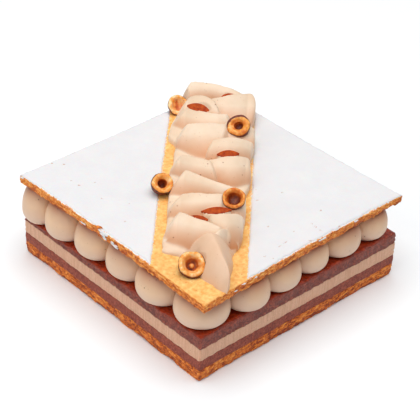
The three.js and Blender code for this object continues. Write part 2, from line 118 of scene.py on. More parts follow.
def lattice(ix, iy, iz, seed):
    """A repeatable value from -1 to 1 for each corner of a unit grid."""
    mask = np.int64(0xFFFFFFFF)
    mixed = ix * 73856093 ^ iy * 19349663 ^ iz * 83492791 ^ (seed * 2654435761 & 0xFFFFFFFF)
    mixed = mixed & mask
    mixed = ((mixed ^ (mixed >> 15)) * 2246822519) & mask
    mixed = ((mixed ^ (mixed >> 13)) * 3266489917) & mask
    mixed = mixed ^ (mixed >> 16)
    return mixed / 2147483647.5 - 1


def noise(points, size, seed):
    """Smooth noise from -1 to 1 whose features have the given size in millimetres."""
    place = points / np.asarray(size, float)
    cell = np.floor(place).astype(np.int64)
    share = place - cell
    share = share * share * (3 - 2 * share)
    total = np.zeros(len(points))
    for step in np.ndindex(2, 2, 2):
        weight = np.where(step, share, 1 - share).prod(axis=1)
        total += weight * lattice(*(cell + step).T, seed)
    return total


def rough(points, size, seed, octaves=3):
    size = np.asarray(size, float)
    return sum(noise(points, size / 2**k, seed + k) / 2**k for k in range(octaves))


def torn(points, size, seed, extra=0.0):
    """Noise cut off below 0, for flakes and bites that come only here and there."""
    return np.clip(noise(points, size, seed) + extra, 0, 1)


def smoothstep(low, high, values):
    share = np.clip((values - low) / (high - low), 0, 1)
    return share * share * (3 - 2 * share)


def bell(values, width, centre=0.0):
    """1 at the centre, falling to 0 on both sides of it."""
    return np.exp(-(((values - centre) / width) ** 2))


def level(plan):
    """Plan points given a height of 0."""
    return np.column_stack([plan, np.zeros(len(plan))])


def turned_by(first, second, degrees):
    """A pair of offsets along the axes of something that is turned by some degrees."""
    cos_turn, sin_turn = math.cos(math.radians(degrees)), math.sin(math.radians(degrees))
    return first * cos_turn + second * sin_turn, second * cos_turn - first * sin_turn


# -------- mesh making


def in_scene(name, data):
    """A new object in the scene."""
    thing = bpy.data.objects.new(name, data)
    bpy.context.scene.collection.objects.link(thing)
    return thing


def new_piece(name, points, faces, material, slot, replaced=(), **attributes):
    """A closed smooth mesh from points in millimetres, riding on the cake."""
    mesh = bpy.data.meshes.new(name)
    mesh.from_pydata((np.asarray(points) * MM).tolist(), [], faces)
    mesh.validate()
    mesh.polygons.foreach_set("use_smooth", np.ones(len(mesh.polygons), bool))
    for key, values in attributes.items():
        layer = mesh.attributes.new(key, "FLOAT", "POINT")
        layer.data.foreach_set("value", np.asarray(values, np.float32))
    mesh.update()
    mesh.materials.append(material)
    piece = in_scene(name, mesh)
    if replaced:
        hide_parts(*replaced)
    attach(piece, "root")
    return piece


def grid_faces(rows, columns, closed):
    """Quads between rows of points that are stored one after the other."""
    last = columns if closed else columns - 1
    row, column = np.meshgrid(np.arange(rows - 1), np.arange(last), indexing="ij")
    row, column = row.ravel(), column.ravel()
    after = (column + 1) % columns
    here, above = row * columns, (row + 1) * columns
    return np.column_stack([here + column, here + after, above + after, above + column]).tolist()


def turned_over(faces):
    """The same faces looking the other way."""
    return [[face[0], *face[:0:-1]] for face in faces]


def capped_rings(rings, columns):
    """Faces of a solid of closed rings of points from the lowest up, with a cap at each end."""
    caps = [list(range(columns))[::-1], list(range((rings - 1) * columns, rings * columns))]
    return grid_faces(rings, columns, True) + caps


def round_steps(columns):
    return np.arange(columns) * 2 * math.pi / columns


def square_grid(low, high, cells):
    """The two coordinates of each point of a square grid, and the indices round its rim."""
    side = np.linspace(low, high, cells + 1)
    first, second = np.meshgrid(side, side, indexing="ij")
    index = np.arange((cells + 1) ** 2).reshape(cells + 1, cells + 1)
    rim = np.concatenate([index[:-1, 0], index[-1, :-1], index[:0:-1, -1], index[0, :0:-1]])
    return first.ravel(), second.ravel(), rim


def outward_normals(outline):
    """Unit normals in plan that point out of a counter-clockwise outline."""
    tangent = np.roll(outline, -1, axis=0) - np.roll(outline, 1, axis=0)
    length = np.linalg.norm(tangent, axis=1)[:, None]
    return np.column_stack([tangent[:, 1], -tangent[:, 0]]) / length


def draped_slab(top, cells, rim, levels):
    """Points and faces of a square grid with levels hung below its rim and a flat base."""
    faces = turned_over(grid_faces(cells + 1, cells + 1, False))
    rings = [rim] + [len(top) + k * len(rim) + np.arange(len(rim)) for k in range(len(levels))]
    for above, below in zip(rings, rings[1:]):
        quads = np.column_stack([above, below, np.roll(below, -1), np.roll(above, -1)])
        faces.extend(quads.tolist())
    faces.append(rings[-1][::-1].tolist())
    return np.concatenate([top, *levels]), faces


def walled_grid(upper, rows, columns, base_height):
    """Points and faces of a grid of points with walls down from its rim, and the rim's length."""
    index = np.arange(rows * columns).reshape(rows, columns)
    rim = np.concatenate([index[0, :-1], index[:-1, -1], index[-1, :0:-1], index[:0:-1, 0]])
    lower = upper[rim].copy()
    lower[:, 2] = base_height
    base = len(upper) + np.arange(len(rim))
    walls = np.column_stack([rim, base, np.roll(base, -1), np.roll(rim, -1)])
    faces = grid_faces(rows, columns, False) + walls.tolist() + [base[::-1].tolist()]
    return np.concatenate([upper, lower]), faces, len(rim)


def rounded_outline(corners, radius, spacing, arc_steps=6):
    """Points and outward normals round a counter-clockwise polygon with rounded corners."""
    points, normals = [], []
    for k, here in enumerate(corners):
        before, after = corners[k - 1], corners[(k + 1) % len(corners)]
        come = (here - before) / np.linalg.norm(here - before)
        leave = (after - here) / np.linalg.norm(after - here)
        turn = math.atan2(come[0] * leave[1] - come[1] * leave[0], come @ leave)
        reach = radius * math.tan(turn / 2)
        centre = here - come * reach + radius * np.array([-come[1], come[0]])
        first = math.atan2(-come[0], come[1])
        for step in range(arc_steps + 1):
            angle = first + turn * step / arc_steps
            normal = np.array([math.cos(angle), math.sin(angle)])
            points.append(centre + radius * normal)
            normals.append(normal)
        begin, end = here + leave * reach, after - leave * reach
        steps = max(2, round(np.linalg.norm(end - begin) / spacing))
        for step in range(1, steps):
            points.append(begin + (end - begin) * step / steps)
            normals.append(np.array([leave[1], -leave[0]]))
    return np.array(points), np.array(normals)


def swept_slab(outline, normals, rings):
    """Points and faces of a solid: the outline at each ring's distance outwards and height."""
    levels = []
    for outward, height in rings:
        plan = outline + normals * np.reshape(outward, (-1, 1))
        levels.append(np.column_stack([plan, np.broadcast_to(height, len(outline))]))
    return np.concatenate(levels), capped_rings(len(rings), len(outline))


# -------- materials


def srgb(red, green, blue):
    """A linear colour from the 0 to 255 values that a screen shows."""
    values = [c / 255 for c in (red, green, blue)]
    return tuple(c / 12.92 if c <= 0.04045 else ((c + 0.055) / 1.055) ** 2.4 for c in values)


class Shader:
    """A node material with one Principled shader. Noise and specks have sizes in millimetres."""

    def __init__(self, name, color, roughness, **inputs):
        self.material = bpy.data.materials.new(name)
        self.material.use_nodes = True
        self.tree = self.material.node_tree
        self.surface = self.tree.nodes["Principled BSDF"]
        self.set(Base_Color=(*color, 1), Roughness=roughness, **inputs)
        self.place = self.tree.nodes.new("ShaderNodeTexCoord").outputs["Object"]

    def set(self, **inputs):
        """Feeds inputs of the surface, with _ for each space in a name."""
        for key, value in inputs.items():
            self.feed(self.surface.inputs[key.replace("_", " ")], value)

    def put(self, kind, settings=None, **links):
        """Adds a node. Sockets are fed by name, or by number as _0, with a value or an output."""
        node = self.tree.nodes.new(kind)
        for key, value in (settings or {}).items():
            setattr(node, key, value)
        for key, value in links.items():
            numbered = key[0] == "_"
            self.feed(node.inputs[int(key[1:]) if numbered else key.replace("_", " ")], value)
        return node

    def feed(self, socket, value):
        if isinstance(value, bpy.types.NodeSocket):
            self.tree.links.new(value, socket)
        else:
            socket.default_value = value

    def noise(self, size, detail=3.0, stretch=None, roughness=0.55):
        place = self.place
        if stretch:
            place = self.put("ShaderNodeMapping", Vector=place, Scale=stretch).outputs["Vector"]
        node = self.put("ShaderNodeTexNoise", Vector=place, Scale=1 / (size * MM), Detail=detail)
        node.inputs["Roughness"].default_value = roughness
        return node.outputs["Fac"]

    def specks(self, spacing, radius, share):
        """1 inside small round specks in a share of the cells, and 0 elsewhere."""
        cells = self.put("ShaderNodeTexVoronoi", Vector=self.place, Scale=1 / (spacing * MM))
        size = radius / spacing
        dot = self.ramp(cells.outputs["Distance"], size, size * 0.55)
        chosen = self.put("ShaderNodeSeparateColor", Color=cells.outputs["Color"]).outputs[0]
        return self.math("MULTIPLY", dot, self.ramp(chosen, share, share - 0.04))

    def ramp(self, value, low, high, to_low=0.0, to_high=1.0):
        node = self.put("ShaderNodeMapRange", {"clamp": True}, Value=value)
        for socket, number in zip(node.inputs[1:5], (low, high, to_low, to_high)):
            socket.default_value = number
        return node.outputs["Result"]

    def math(self, operation, first, second=0.0):
        return self.put("ShaderNodeMath", {"operation": operation}, _0=first, _1=second).outputs[0]

    def attribute(self, name):
        return self.put("ShaderNodeAttribute", {"attribute_name": name}).outputs["Fac"]

    def mix(self, share, first, second):
        node = self.put("ShaderNodeMix", {"data_type": "RGBA"})
        self.feed(node.inputs[0], share)
        for socket, color in ((node.inputs[6], first), (node.inputs[7], second)):
            self.feed(socket, color if isinstance(color, bpy.types.NodeSocket) else (*color, 1))
        return node.outputs[2]

    def blend(self, value, low, high, first, second):
        """The first colour where the value is low or less, and the second where it is high."""
        return self.mix(self.ramp(value, low, high), first, second)

    def mottled(self, name, mottle, spread, low=0.3, high=0.7):
        """An attribute with noise of up to spread added to it or taken off."""
        return self.math("ADD", self.attribute(name), self.ramp(mottle, low, high, -spread, spread))

    def dotted(self, tone, color, strength, specks):
        """The tone with specks of a colour. Specks gives their spacing, radius and share."""
        return self.mix(self.math("MULTIPLY", self.specks(*specks), strength), tone, color)

    def color(self, value):
        self.set(Base_Color=value)

    def bump(self, height, depth, strength=1.0):
        """Adds a bump whose full height is depth millimetres, on top of the earlier ones."""
        node = self.put("ShaderNodeBump", Height=height, Strength=strength, Distance=depth * MM)
        normal = self.surface.inputs["Normal"]
        if normal.is_linked:
            self.tree.links.new(normal.links[0].from_socket, node.inputs["Normal"])
        self.tree.links.new(node.outputs["Normal"], normal)


def cream_material(name, light, shade, speck, crease, crease_shade_depths, subsurface):
    """Piped cream. Attribute depth is painted shade, 1 deep in a crease, and underside is painted
    light, 1 near a ball's foot.
    """
    shader = Shader(name, light, 0.5, Subsurface_Weight=subsurface, Subsurface_Scale=0.0012)
    shader.set(Subsurface_Radius=(1.0, 0.6, 0.4))
    tone = shader.blend(shader.noise(22), 0.35, 0.65, light, shade)
    tone = shader.dotted(tone, speck, 0.35, (2.4, 0.32, 0.45))
    # Painted light: a paler tone towards a ball's foot, for light bounced up from the floor.
    tone = shader.mix(shader.attribute("underside"), tone, srgb(222, 190, 166))
    # Painted shade: the crease colour, laid on where attribute depth is high.
    tone = shader.blend(shader.attribute("depth"), *crease_shade_depths, tone, crease)
    # Coarse specks are small dents painted dark, as shade in bubble pits.
    coarse = shader.specks(5.0, 0.5, 0.5)
    shader.color(shader.mix(shader.math("MULTIPLY", coarse, 0.75), tone, speck))
    shader.bump(shader.noise(1.2, 4.0), 0.1, 0.5)
    shader.bump(shader.math("SUBTRACT", 1.0, coarse), 0.25, 0.6)
    return shader.material


def pastry_material(name, dark, mid, pale, sugared=None):
    """Browned puff pastry: attribute relief is 0 in the cracks and 1 on flakes that stand out, as
    painted shade and light.
    """
    shader = Shader(name, mid, 0.72, Subsurface_Weight=0.12, Subsurface_Scale=0.002)
    fine = shader.noise(1.5, 5.0, (1.0, 1.0, 1.7), 0.7)
    relief = shader.mottled("relief", fine, 0.42, 0.32, 0.68)
    # Painted shade and light: dark in the cracks, pale on the flakes that stand out.
    tone = shader.blend(relief, 0.08, 0.5, dark, mid)
    tone = shader.blend(relief, 0.6, 1.05, tone, pale)
    if sugared:
        top = shader.blend(shader.noise(2.6, 5.0), 0.3, 0.68, sugared["low"], sugared["high"])
        top = shader.dotted(top, sugared["pit"], 0.65, (3.6, 0.55, 0.35))
        tone = shader.mix(shader.attribute("upper_side"), tone, top)
        dust = shader.mottled("dust", shader.noise(0.7, 2.0), 0.5, 0.25, 0.75)
        tone = shader.blend(dust, 0.45, 0.6, tone, sugared["white"])
    shader.color(tone)
    shader.bump(shader.noise(0.8, 4.0, (1.0, 1.0, 2.0)), 0.3, 0.7)
    return shader.material


def chocolate_shader(name, light, dark):
    shader = Shader(name, light, 0.62, Subsurface_Weight=0.05, Subsurface_Scale=0.001)
    grain = shader.noise(1.1, 5.0, roughness=0.7)
    streaks = shader.noise(1.3, 2.0, (1.0, 1.0, 0.15))
    tone = shader.blend(grain, 0.4, 0.6, dark, light)
    tone = shader.mix(shader.ramp(streaks, 0.45, 0.62, 0.0, 0.5), tone, dark)
    tone = shader.dotted(tone, srgb(84, 26, 12), 0.8, (1.5, 0.5, 0.4))
    shader.color(shader.dotted(tone, srgb(200, 116, 84), 0.6, (1.9, 0.45, 0.2)))
    shader.bump(grain, 0.35, 0.8)
    return shader


def upper_chocolate_material():
    """Chocolate: attribute glaze is 1 on the wet top, and knife is high in the knife's marks."""
    shader = chocolate_shader("upper_chocolate", srgb(164, 76, 50), srgb(98, 30, 16))
    side = shader.surface.inputs["Base Color"].links[0].from_socket
    side = shader.mix(shader.attribute("knife"), side, srgb(92, 26, 12))
    glazed = shader.attribute("glaze")
    wet = shader.blend(shader.noise(2.4, 4.0), 0.35, 0.7, srgb(122, 28, 4), srgb(182, 58, 12))
    # Light specks on the wet top: painted glints.
    wet = shader.dotted(wet, srgb(226, 130, 78), 0.8, (2.0, 0.34, 0.3))
    shader.color(shader.mix(glazed, side, wet))
    shader.set(Roughness=shader.ramp(glazed, 0.2, 0.9, 0.62, 0.2))
    shader.set(Coat_Weight=0.15, Coat_Roughness=0.15)
    return shader.material


def praline_material():
    light, dark = srgb(227, 180, 149), srgb(210, 160, 128)
    shader = Shader("praline_cream", light, 0.55, Subsurface_Weight=0.15, Subsurface_Scale=0.002)
    grain = shader.noise(1.0, 4.0)
    streaks = shader.noise(0.9, 2.0, (1.0, 1.0, 0.06))
    tone = shader.blend(grain, 0.3, 0.7, dark, light)
    tone = shader.mix(shader.ramp(streaks, 0.42, 0.66, 0.0, 0.55), tone, srgb(193, 138, 105))
    shader.color(shader.dotted(tone, srgb(120, 60, 34), 0.7, (4.0, 0.36, 0.35)))
    shader.bump(streaks, 0.15, 0.6)
    shader.bump(grain, 0.12, 0.6)
    return shader.material


def icing_material():
    """Sifted sugar: attribute pit is 1 where the pastry shows through."""
    shader = Shader("icing_sugar", srgb(229, 228, 229), 0.85, Subsurface_Weight=0.1)
    shader.set(Subsurface_Scale=0.001)
    tone = shader.blend(shader.noise(14.0), 0.3, 0.7, srgb(225, 223, 224), srgb(229, 227, 227))
    pits = shader.mottled("pit", shader.noise(0.8), 0.25)
    shader.color(shader.blend(pits, 0.4, 1.0, tone, srgb(190, 128, 96)))
    shader.bump(shader.noise(0.5, 4.0), 0.12, 0.5)
    shader.bump(shader.noise(3.0, 2.0), 0.15, 0.3)
    return shader.material


def caramel_material():
    shader = Shader("caramel", srgb(160, 60, 8), 0.45, Specular_IOR_Level=0.12)
    grain = shader.noise(2.2, 3.0)
    shader.color(shader.blend(grain, 0.3, 0.7, srgb(146, 42, 2), srgb(196, 82, 10)))
    shader.bump(shader.noise(1.4, 3.0), 0.2, 0.5)
    return shader.material


def hazelnut_material():
    """Toasted nut: fair is high on pale flesh, skin is 1 on the skin, and hollow is painted shade,
    1 deep in the hollow.
    """
    shader = Shader("hazelnut", srgb(240, 172, 86), 0.5, Subsurface_Weight=0.2)
    shader.set(Subsurface_Scale=0.0015)
    fair = shader.mottled("fair", shader.noise(2.4, 3.0), 0.6)
    flesh = shader.blend(fair, -0.1, 0.6, srgb(216, 112, 22), srgb(246, 170, 76))
    flesh = shader.blend(fair, 0.6, 1.3, flesh, srgb(255, 220, 164))
    # Painted shade in the hollow: orange-brown, then dark red-brown deepest in.
    hollow = shader.mottled("hollow", shader.noise(1.2), 0.12)
    flesh = shader.blend(hollow, 0.1, 0.55, flesh, srgb(198, 92, 18))
    flesh = shader.blend(hollow, 0.55, 1.0, flesh, srgb(104, 36, 8))
    skin = shader.blend(shader.noise(1.5, 4.0), 0.3, 0.7, srgb(66, 16, 8), srgb(136, 52, 20))
    shader.color(shader.mix(shader.attribute("skin"), flesh, skin))
    shader.bump(shader.noise(0.9, 4.0), 0.25, 0.6)
    return shader.material


# In both creams the crease colour is painted shade.
CREAM = cream_material(
    "piped_cream",
    light=srgb(232, 194, 156),
    shade=srgb(221, 184, 154),
    speck=srgb(118, 70, 50),
    crease=srgb(146, 64, 20),
    crease_shade_depths=(0.1, 0.9),
    subsurface=0.15,
)
RUFFLE = cream_material(
    "ruffle_cream",
    light=srgb(241, 216, 190),
    shade=srgb(231, 202, 172),
    speck=srgb(140, 62, 22),
    crease=srgb(208, 122, 48),
    crease_shade_depths=(0.4, 1.1),
    subsurface=0.1,
)
BASE_PASTRY = pastry_material(
    "base_pastry", srgb(138, 46, 6), srgb(216, 110, 24), srgb(248, 164, 72)
)
SUGARED = {
    "low": srgb(236, 160, 72),
    "high": srgb(254, 208, 130),
    "pit": srgb(206, 104, 28),
    "white": srgb(232, 231, 232),
}
TOP_PASTRY = pastry_material(
    "top_pastry", srgb(170, 70, 8), srgb(226, 126, 30), srgb(252, 188, 100), SUGARED
)
LOWER_CHOCOLATE = chocolate_shader("lower_chocolate", srgb(172, 82, 56), srgb(116, 38, 22)).material
UPPER_CHOCOLATE = upper_chocolate_material()
PRALINE = praline_material()
ICING = icing_material()
CARAMEL = caramel_material()
HAZELNUT = hazelnut_material()

# -------- camera, lights and floor

CAMERA_TARGET = np.array([18.5, 20.0, 20.0])
CAMERA_DISTANCE = 1017.0
CAMERA_AZIMUTH = math.radians(226.0)
CAMERA_ELEVATION = math.radians(34.97)
CAMERA_ROLL = math.radians(2.96)
CAMERA_LENS = 139.9
CAMERA_SENSOR = 36
# Soft boxes: name, place and side in metres, and power in watts.
SOFT_BOXES = [
    ("overhead_box", (0.0, 0.0, 1.5), 1.5, 19.2),
    ("left_box", (-1.3, 0.15, 0.9), 1.0, 4.8),
]
SOFT_BOX_AIM = Vector((0, 0, 0.03))
WORLD_COLOR, WORLD_STRENGTH = (0.96, 0.98, 1, 1), 0.40
FLOOR_HALF, FLOOR_POINTS = 3.0, 9


def place_camera():
    level_share = math.cos(CAMERA_ELEVATION)
    sideways = (math.cos(CAMERA_AZIMUTH), math.sin(CAMERA_AZIMUTH))
    rise = math.sin(CAMERA_ELEVATION)
    away = Vector((level_share * sideways[0], level_share * sideways[1], rise))
    side = (-away).cross(Vector((0, 0, 1))).normalized()
    up = side.cross(-away)
    cos_roll, sin_roll = math.cos(CAMERA_ROLL), math.sin(CAMERA_ROLL)
    right = side * cos_roll + up * sin_roll
    top = up * cos_roll - side * sin_roll
    data = bpy.data.cameras.new("camera")
    data.lens = CAMERA_LENS
    data.sensor_width = CAMERA_SENSOR
    camera = in_scene("camera", data)
    turned = Matrix((right, top, away)).transposed().to_4x4()
    place = Vector(CAMERA_TARGET * MM) + away * CAMERA_DISTANCE * MM
    camera.matrix_world = Matrix.Translation(place) @ turned
    bpy.context.scene.camera = camera


def add_soft_box(name, place, side, power):
    data = bpy.data.lights.new(name, "AREA")
    data.size = side
    data.energy = power
    light = in_scene(name, data)
    light.location = place
    light.rotation_euler = (SOFT_BOX_AIM - Vector(place)).to_track_quat("-Z", "Y").to_euler()


def light_world():
    world = bpy.data.worlds.new("studio")
    world.use_nodes = True
    background = world.node_tree.nodes["Background"]
    background.inputs["Color"].default_value = WORLD_COLOR
    background.inputs["Strength"].default_value = WORLD_STRENGTH
    bpy.context.scene.world = world
    bpy.context.scene.view_settings.view_transform = "Standard"


def make_floor():
    shader = Shader("white_floor", (0.965, 0.985, 1.0), 0.7)
    cloud = shader.noise(40, 2.0)
    shader.color(shader.blend(cloud, 0.3, 0.7, (0.96, 0.98, 0.995), (0.97, 0.99, 1.0)))
    side = np.linspace(-FLOOR_HALF, FLOOR_HALF, FLOOR_POINTS)
    points = [(x, y, 0.0) for y in side for x in side]
    mesh = bpy.data.meshes.new("floor")
    mesh.from_pydata(points, [], grid_faces(FLOOR_POINTS, FLOOR_POINTS, False))
    mesh.materials.append(shader.material)
    floor = in_scene("floor", mesh)


place_camera()
for soft_box in SOFT_BOXES:
    add_soft_box(*soft_box)
light_world()
make_floor()

# -------- cut layers

SQUARE = HALF_SIDE * np.array([[-1, -1], [1, -1], [1, 1], [-1, 1]])
CUT_SPACING = 0.55
CUT_ROUNDING = 1.2
INNER_LIP = 2.0
# Seeds of the boundaries over the crust, the lower chocolate and the cream. The two layers that
# meet at a boundary share its seed, so that they fit.
CRUST_SEAM, CHOCOLATE_SEAM, CREAM_SEAM = 101, 111, 121
GLAZE_CELLS, GLAZE_ROWS, GLAZE_ROUNDING = 200, 14, 1.4
SCALLOP_SIZE = 3.6
KNIFE_SLANT, KNIFE_DEPTH = 0.45, 0.4


def boundary(plan, height, seed):
    """An uneven boundary between two layers."""
    flat = level(plan)
    return height + 0.28 * noise(flat, 9, seed) + 0.12 * noise(flat, 2.5, seed + 1)


def cut_layer(name, material, low, high, seams, streak, bulge):
    """A layer whose knife-cut sides carry grain and upright streaks."""
    outline, normals = rounded_outline(SQUARE, CUT_ROUNDING, CUT_SPACING)
    bottom, top = boundary(outline, low, seams[0]), boundary(outline, high, seams[1])
    rows = max(8, round((high - low) / CUT_SPACING))
    rings = [(-INNER_LIP, low)]
    for rise in np.arange(rows + 1) / rows:
        height = bottom + (top - bottom) * rise
        points = np.column_stack([outline, height])
        out = 0.16 * rough(points, 1.5, seams[0] + 3) + bulge * (4 * rise * (1 - rise) - 0.6)
        out += streak * noise(points, (1.4, 1.4, 9.0), seams[0] + 7)
        rings.append((out, height))
    rings.append((-INNER_LIP, high))
    points, faces = swept_slab(outline, normals, rings)
    return new_piece(name, points, faces, material, name, (name + "_layer",))


def rounded_square(ax, ay, half, radius):
    """Plan points of a square grid of shares from -1 to 1, pulled in at the rounded corners."""
    plan = half * np.column_stack([ax, ay])
    beyond = np.maximum(np.abs(plan) - (half - radius), 0)
    reach = np.hypot(beyond[:, 0], beyond[:, 1])
    pull = np.where(reach > radius, radius / np.maximum(reach, 1e-6), 1.0)
    return np.sign(plan) * (np.minimum(np.abs(plan), half - radius) + beyond * pull[:, None])


def upper_layer():
    """The upper chocolate layer: cut sides, a scalloped upper edge and a glazed top."""
    ax, ay, rim = square_grid(-1, 1, GLAZE_CELLS)
    plan = rounded_square(ax, ay, HALF_SIDE, GLAZE_ROUNDING)
    flat = level(plan)
    edge = HALF_SIDE - np.abs(plan).max(axis=1)
    height = glaze_height(*plan.T) + 0.18 * rough(flat, 5.5, 131) + 0.07 * noise(flat, 1.3, 137)
    height += 0.35 * bell(edge, 1.5, 2.2) * (0.6 + 0.8 * noise(flat, 3.0, 139))
    scallop = torn(flat, (SCALLOP_SIZE, SCALLOP_SIZE, 1), 141, 0.45)
    height -= (0.25 + 0.75 * scallop) * bell(edge, 0.9)
    top = np.column_stack([plan, height])
    outline = plan[rim]
    normals = outward_normals(outline)
    inset = -0.15 - 0.65 * scallop[rim]
    top[rim, :2] += normals * inset[:, None]
    bottom = boundary(outline, PRALINE_TOP, CREAM_SEAM)
    levels, glazed, marks = [], [], []
    for drop in np.arange(1, GLAZE_ROWS + 1) / GLAZE_ROWS:
        z = top[rim, 2] + (bottom - top[rim, 2]) * drop
        points = np.column_stack([outline, z])
        slanted = points + np.column_stack([z, z, 0 * z]) * KNIFE_SLANT
        below_edge = min(1, 3 * drop)
        mark = bell(noise(slanted, (2.4, 2.4, 30.0), 159), 0.2) * (1 - 0.5 * drop)
        out = inset * (1 - drop) ** 3 + 0.2 * rough(points, 1.5, 151) * min(1, 4 * drop)
        out += 0.42 * noise(slanted, (1.5, 1.5, 8.0), 157) * below_edge
        out -= KNIFE_DEPTH * mark * below_edge
        levels.append(np.column_stack([outline + normals * out[:, None], z]))
        marks.append(0.75 * mark)
        glazed.append(np.full(len(rim), max(0.0, 0.55 - 2.2 * drop)))
    none = np.zeros(len(rim))
    levels.append(np.column_stack([outline - normals * INNER_LIP, none + PRALINE_TOP]))
    points, faces = draped_slab(top, GLAZE_CELLS, rim, levels)
    name = "upper_chocolate"
    return new_piece(
        name, points, faces, UPPER_CHOCOLATE, name, (name + "_layer",),
        glaze=np.concatenate([smoothstep(0.0, 0.9, edge - 0.5 * scallop), *glazed, none]),
        knife=np.concatenate([np.zeros(len(top)), *marks, none]),
    )


LOWER_SPAN, CREAM_SPAN = (CRUST_TOP, PRALINE_BOTTOM), (PRALINE_BOTTOM, PRALINE_TOP)
cut_layer("lower_chocolate", LOWER_CHOCOLATE, *LOWER_SPAN, (CRUST_SEAM, CHOCOLATE_SEAM), 0.08, 0.12)
cut_layer("praline_cream", PRALINE, *CREAM_SPAN, (CHOCOLATE_SEAM, CREAM_SEAM), 0.10, 0.15)
upper_layer()

# -------- flaky pastry

CRUST_SPACING, CRUST_ROUNDING, CRUST_ROWS, CRUST_STRATA = 0.5, 1.0, 20, 5
SHEET_CELLS, SHEET_ROWS, SHEET_STRATA = 210, 14, 4
SHEET_BOW = 1.3
FLAKE_DEPTH = 0.55
SUGAR_EDGE = 0.3
BARE_DUST_REACH = 1.3


def flaky(points, rise, strata, seed):
    """How far flaky pastry stands out, about -1 to 1, at a share of the way up its side."""
    plan = points * [1, 1, 0]
    waved = rise * strata + 0.75 * noise(plan, 9, seed) + 0.4 * noise(plan, 2.8, seed + 1)
    layer = np.floor(waved)
    within = waved - layer
    apart = plan + np.outer(40 * layer, [0, 0, 1])
    out = 0.5 * noise(apart, 3.2, seed + 2) + 0.4 * noise(apart, 1.2, seed + 3)
    crack = bell(np.minimum(within, 1 - within), 0.13)
    crack = crack * torn(apart, (6.0, 6.0, 1.0), seed + 4, 0.35)
    return out - 0.85 * crack + 0.22 * noise(points, 0.9, seed + 5)


def base_crust():
    outline, normals = rounded_outline(SQUARE, CRUST_ROUNDING, CRUST_SPACING)
    flat = level(outline)
    even = np.ones(len(outline))
    lift = 0.9 * torn(flat, 7, 201, 0.1) + 0.35 * torn(flat, 1.8, 203)
    top = boundary(outline, CRUST_TOP, CRUST_SEAM)
    bend = 0.5 * noise(flat, 9, 223) - 0.1
    rings = [(-6.0, 0.0), (-2.6, 0.0), (-1.5 + 0.3 * noise(flat, 2, 205), 0.35 * lift)]
    # Relief is painted shade: low on the base, and darker towards the undercut foot.
    relief = [0.3 * even] * 3
    for rise in np.arange(CRUST_ROWS + 1) / CRUST_ROWS:
        z = lift + (top - lift) * rise
        depth = flaky(np.column_stack([outline, z]), rise, CRUST_STRATA, 211)
        rings.append((FLAKE_DEPTH * depth + bend - 0.9 * (1 - rise) ** 4, z))
        relief.append(np.clip(0.55 + 0.75 * depth - 0.25 * (1 - rise) ** 3, 0, 1))
    rings.append((-3.0, CRUST_TOP))
    relief = np.concatenate([*relief, 0.5 * even])
    points, faces = swept_slab(outline, normals, rings)
    name = "base_crust"
    return new_piece(name, points, faces, BASE_PASTRY, "base_pastry", (name,), relief=relief)


def bilinear(corners, a, b):
    """The place in a four-cornered sheet at shares a and b along its sides."""
    front, right, rear, left = corners
    a, b = a[:, None], b[:, None]
    return front * (1 - a) * (1 - b) + right * a * (1 - b) + rear * a * b + left * (1 - a) * b


def bowed(plan):
    """The sheet's sides are drawn in a little between its corners."""
    share = plan / HALF_SIDE
    return plan - SHEET_BOW * (1 - np.clip(share[:, ::-1], -1, 1) ** 2) * share**3


def sugar_retreat(plan):
    """How far the sugar stays back from the front sides: nothing at the side corners."""
    flat = level(plan)
    from_corner = HALF_SIDE * math.sqrt(2) - np.abs(along_v(plan))
    uneven = 0.8 + 0.5 * noise(flat, 7, 351) + 0.35 * noise(flat, 2.2, 353)
    return np.maximum(uneven, 0.1) * smoothstep(0, 16, from_corner)


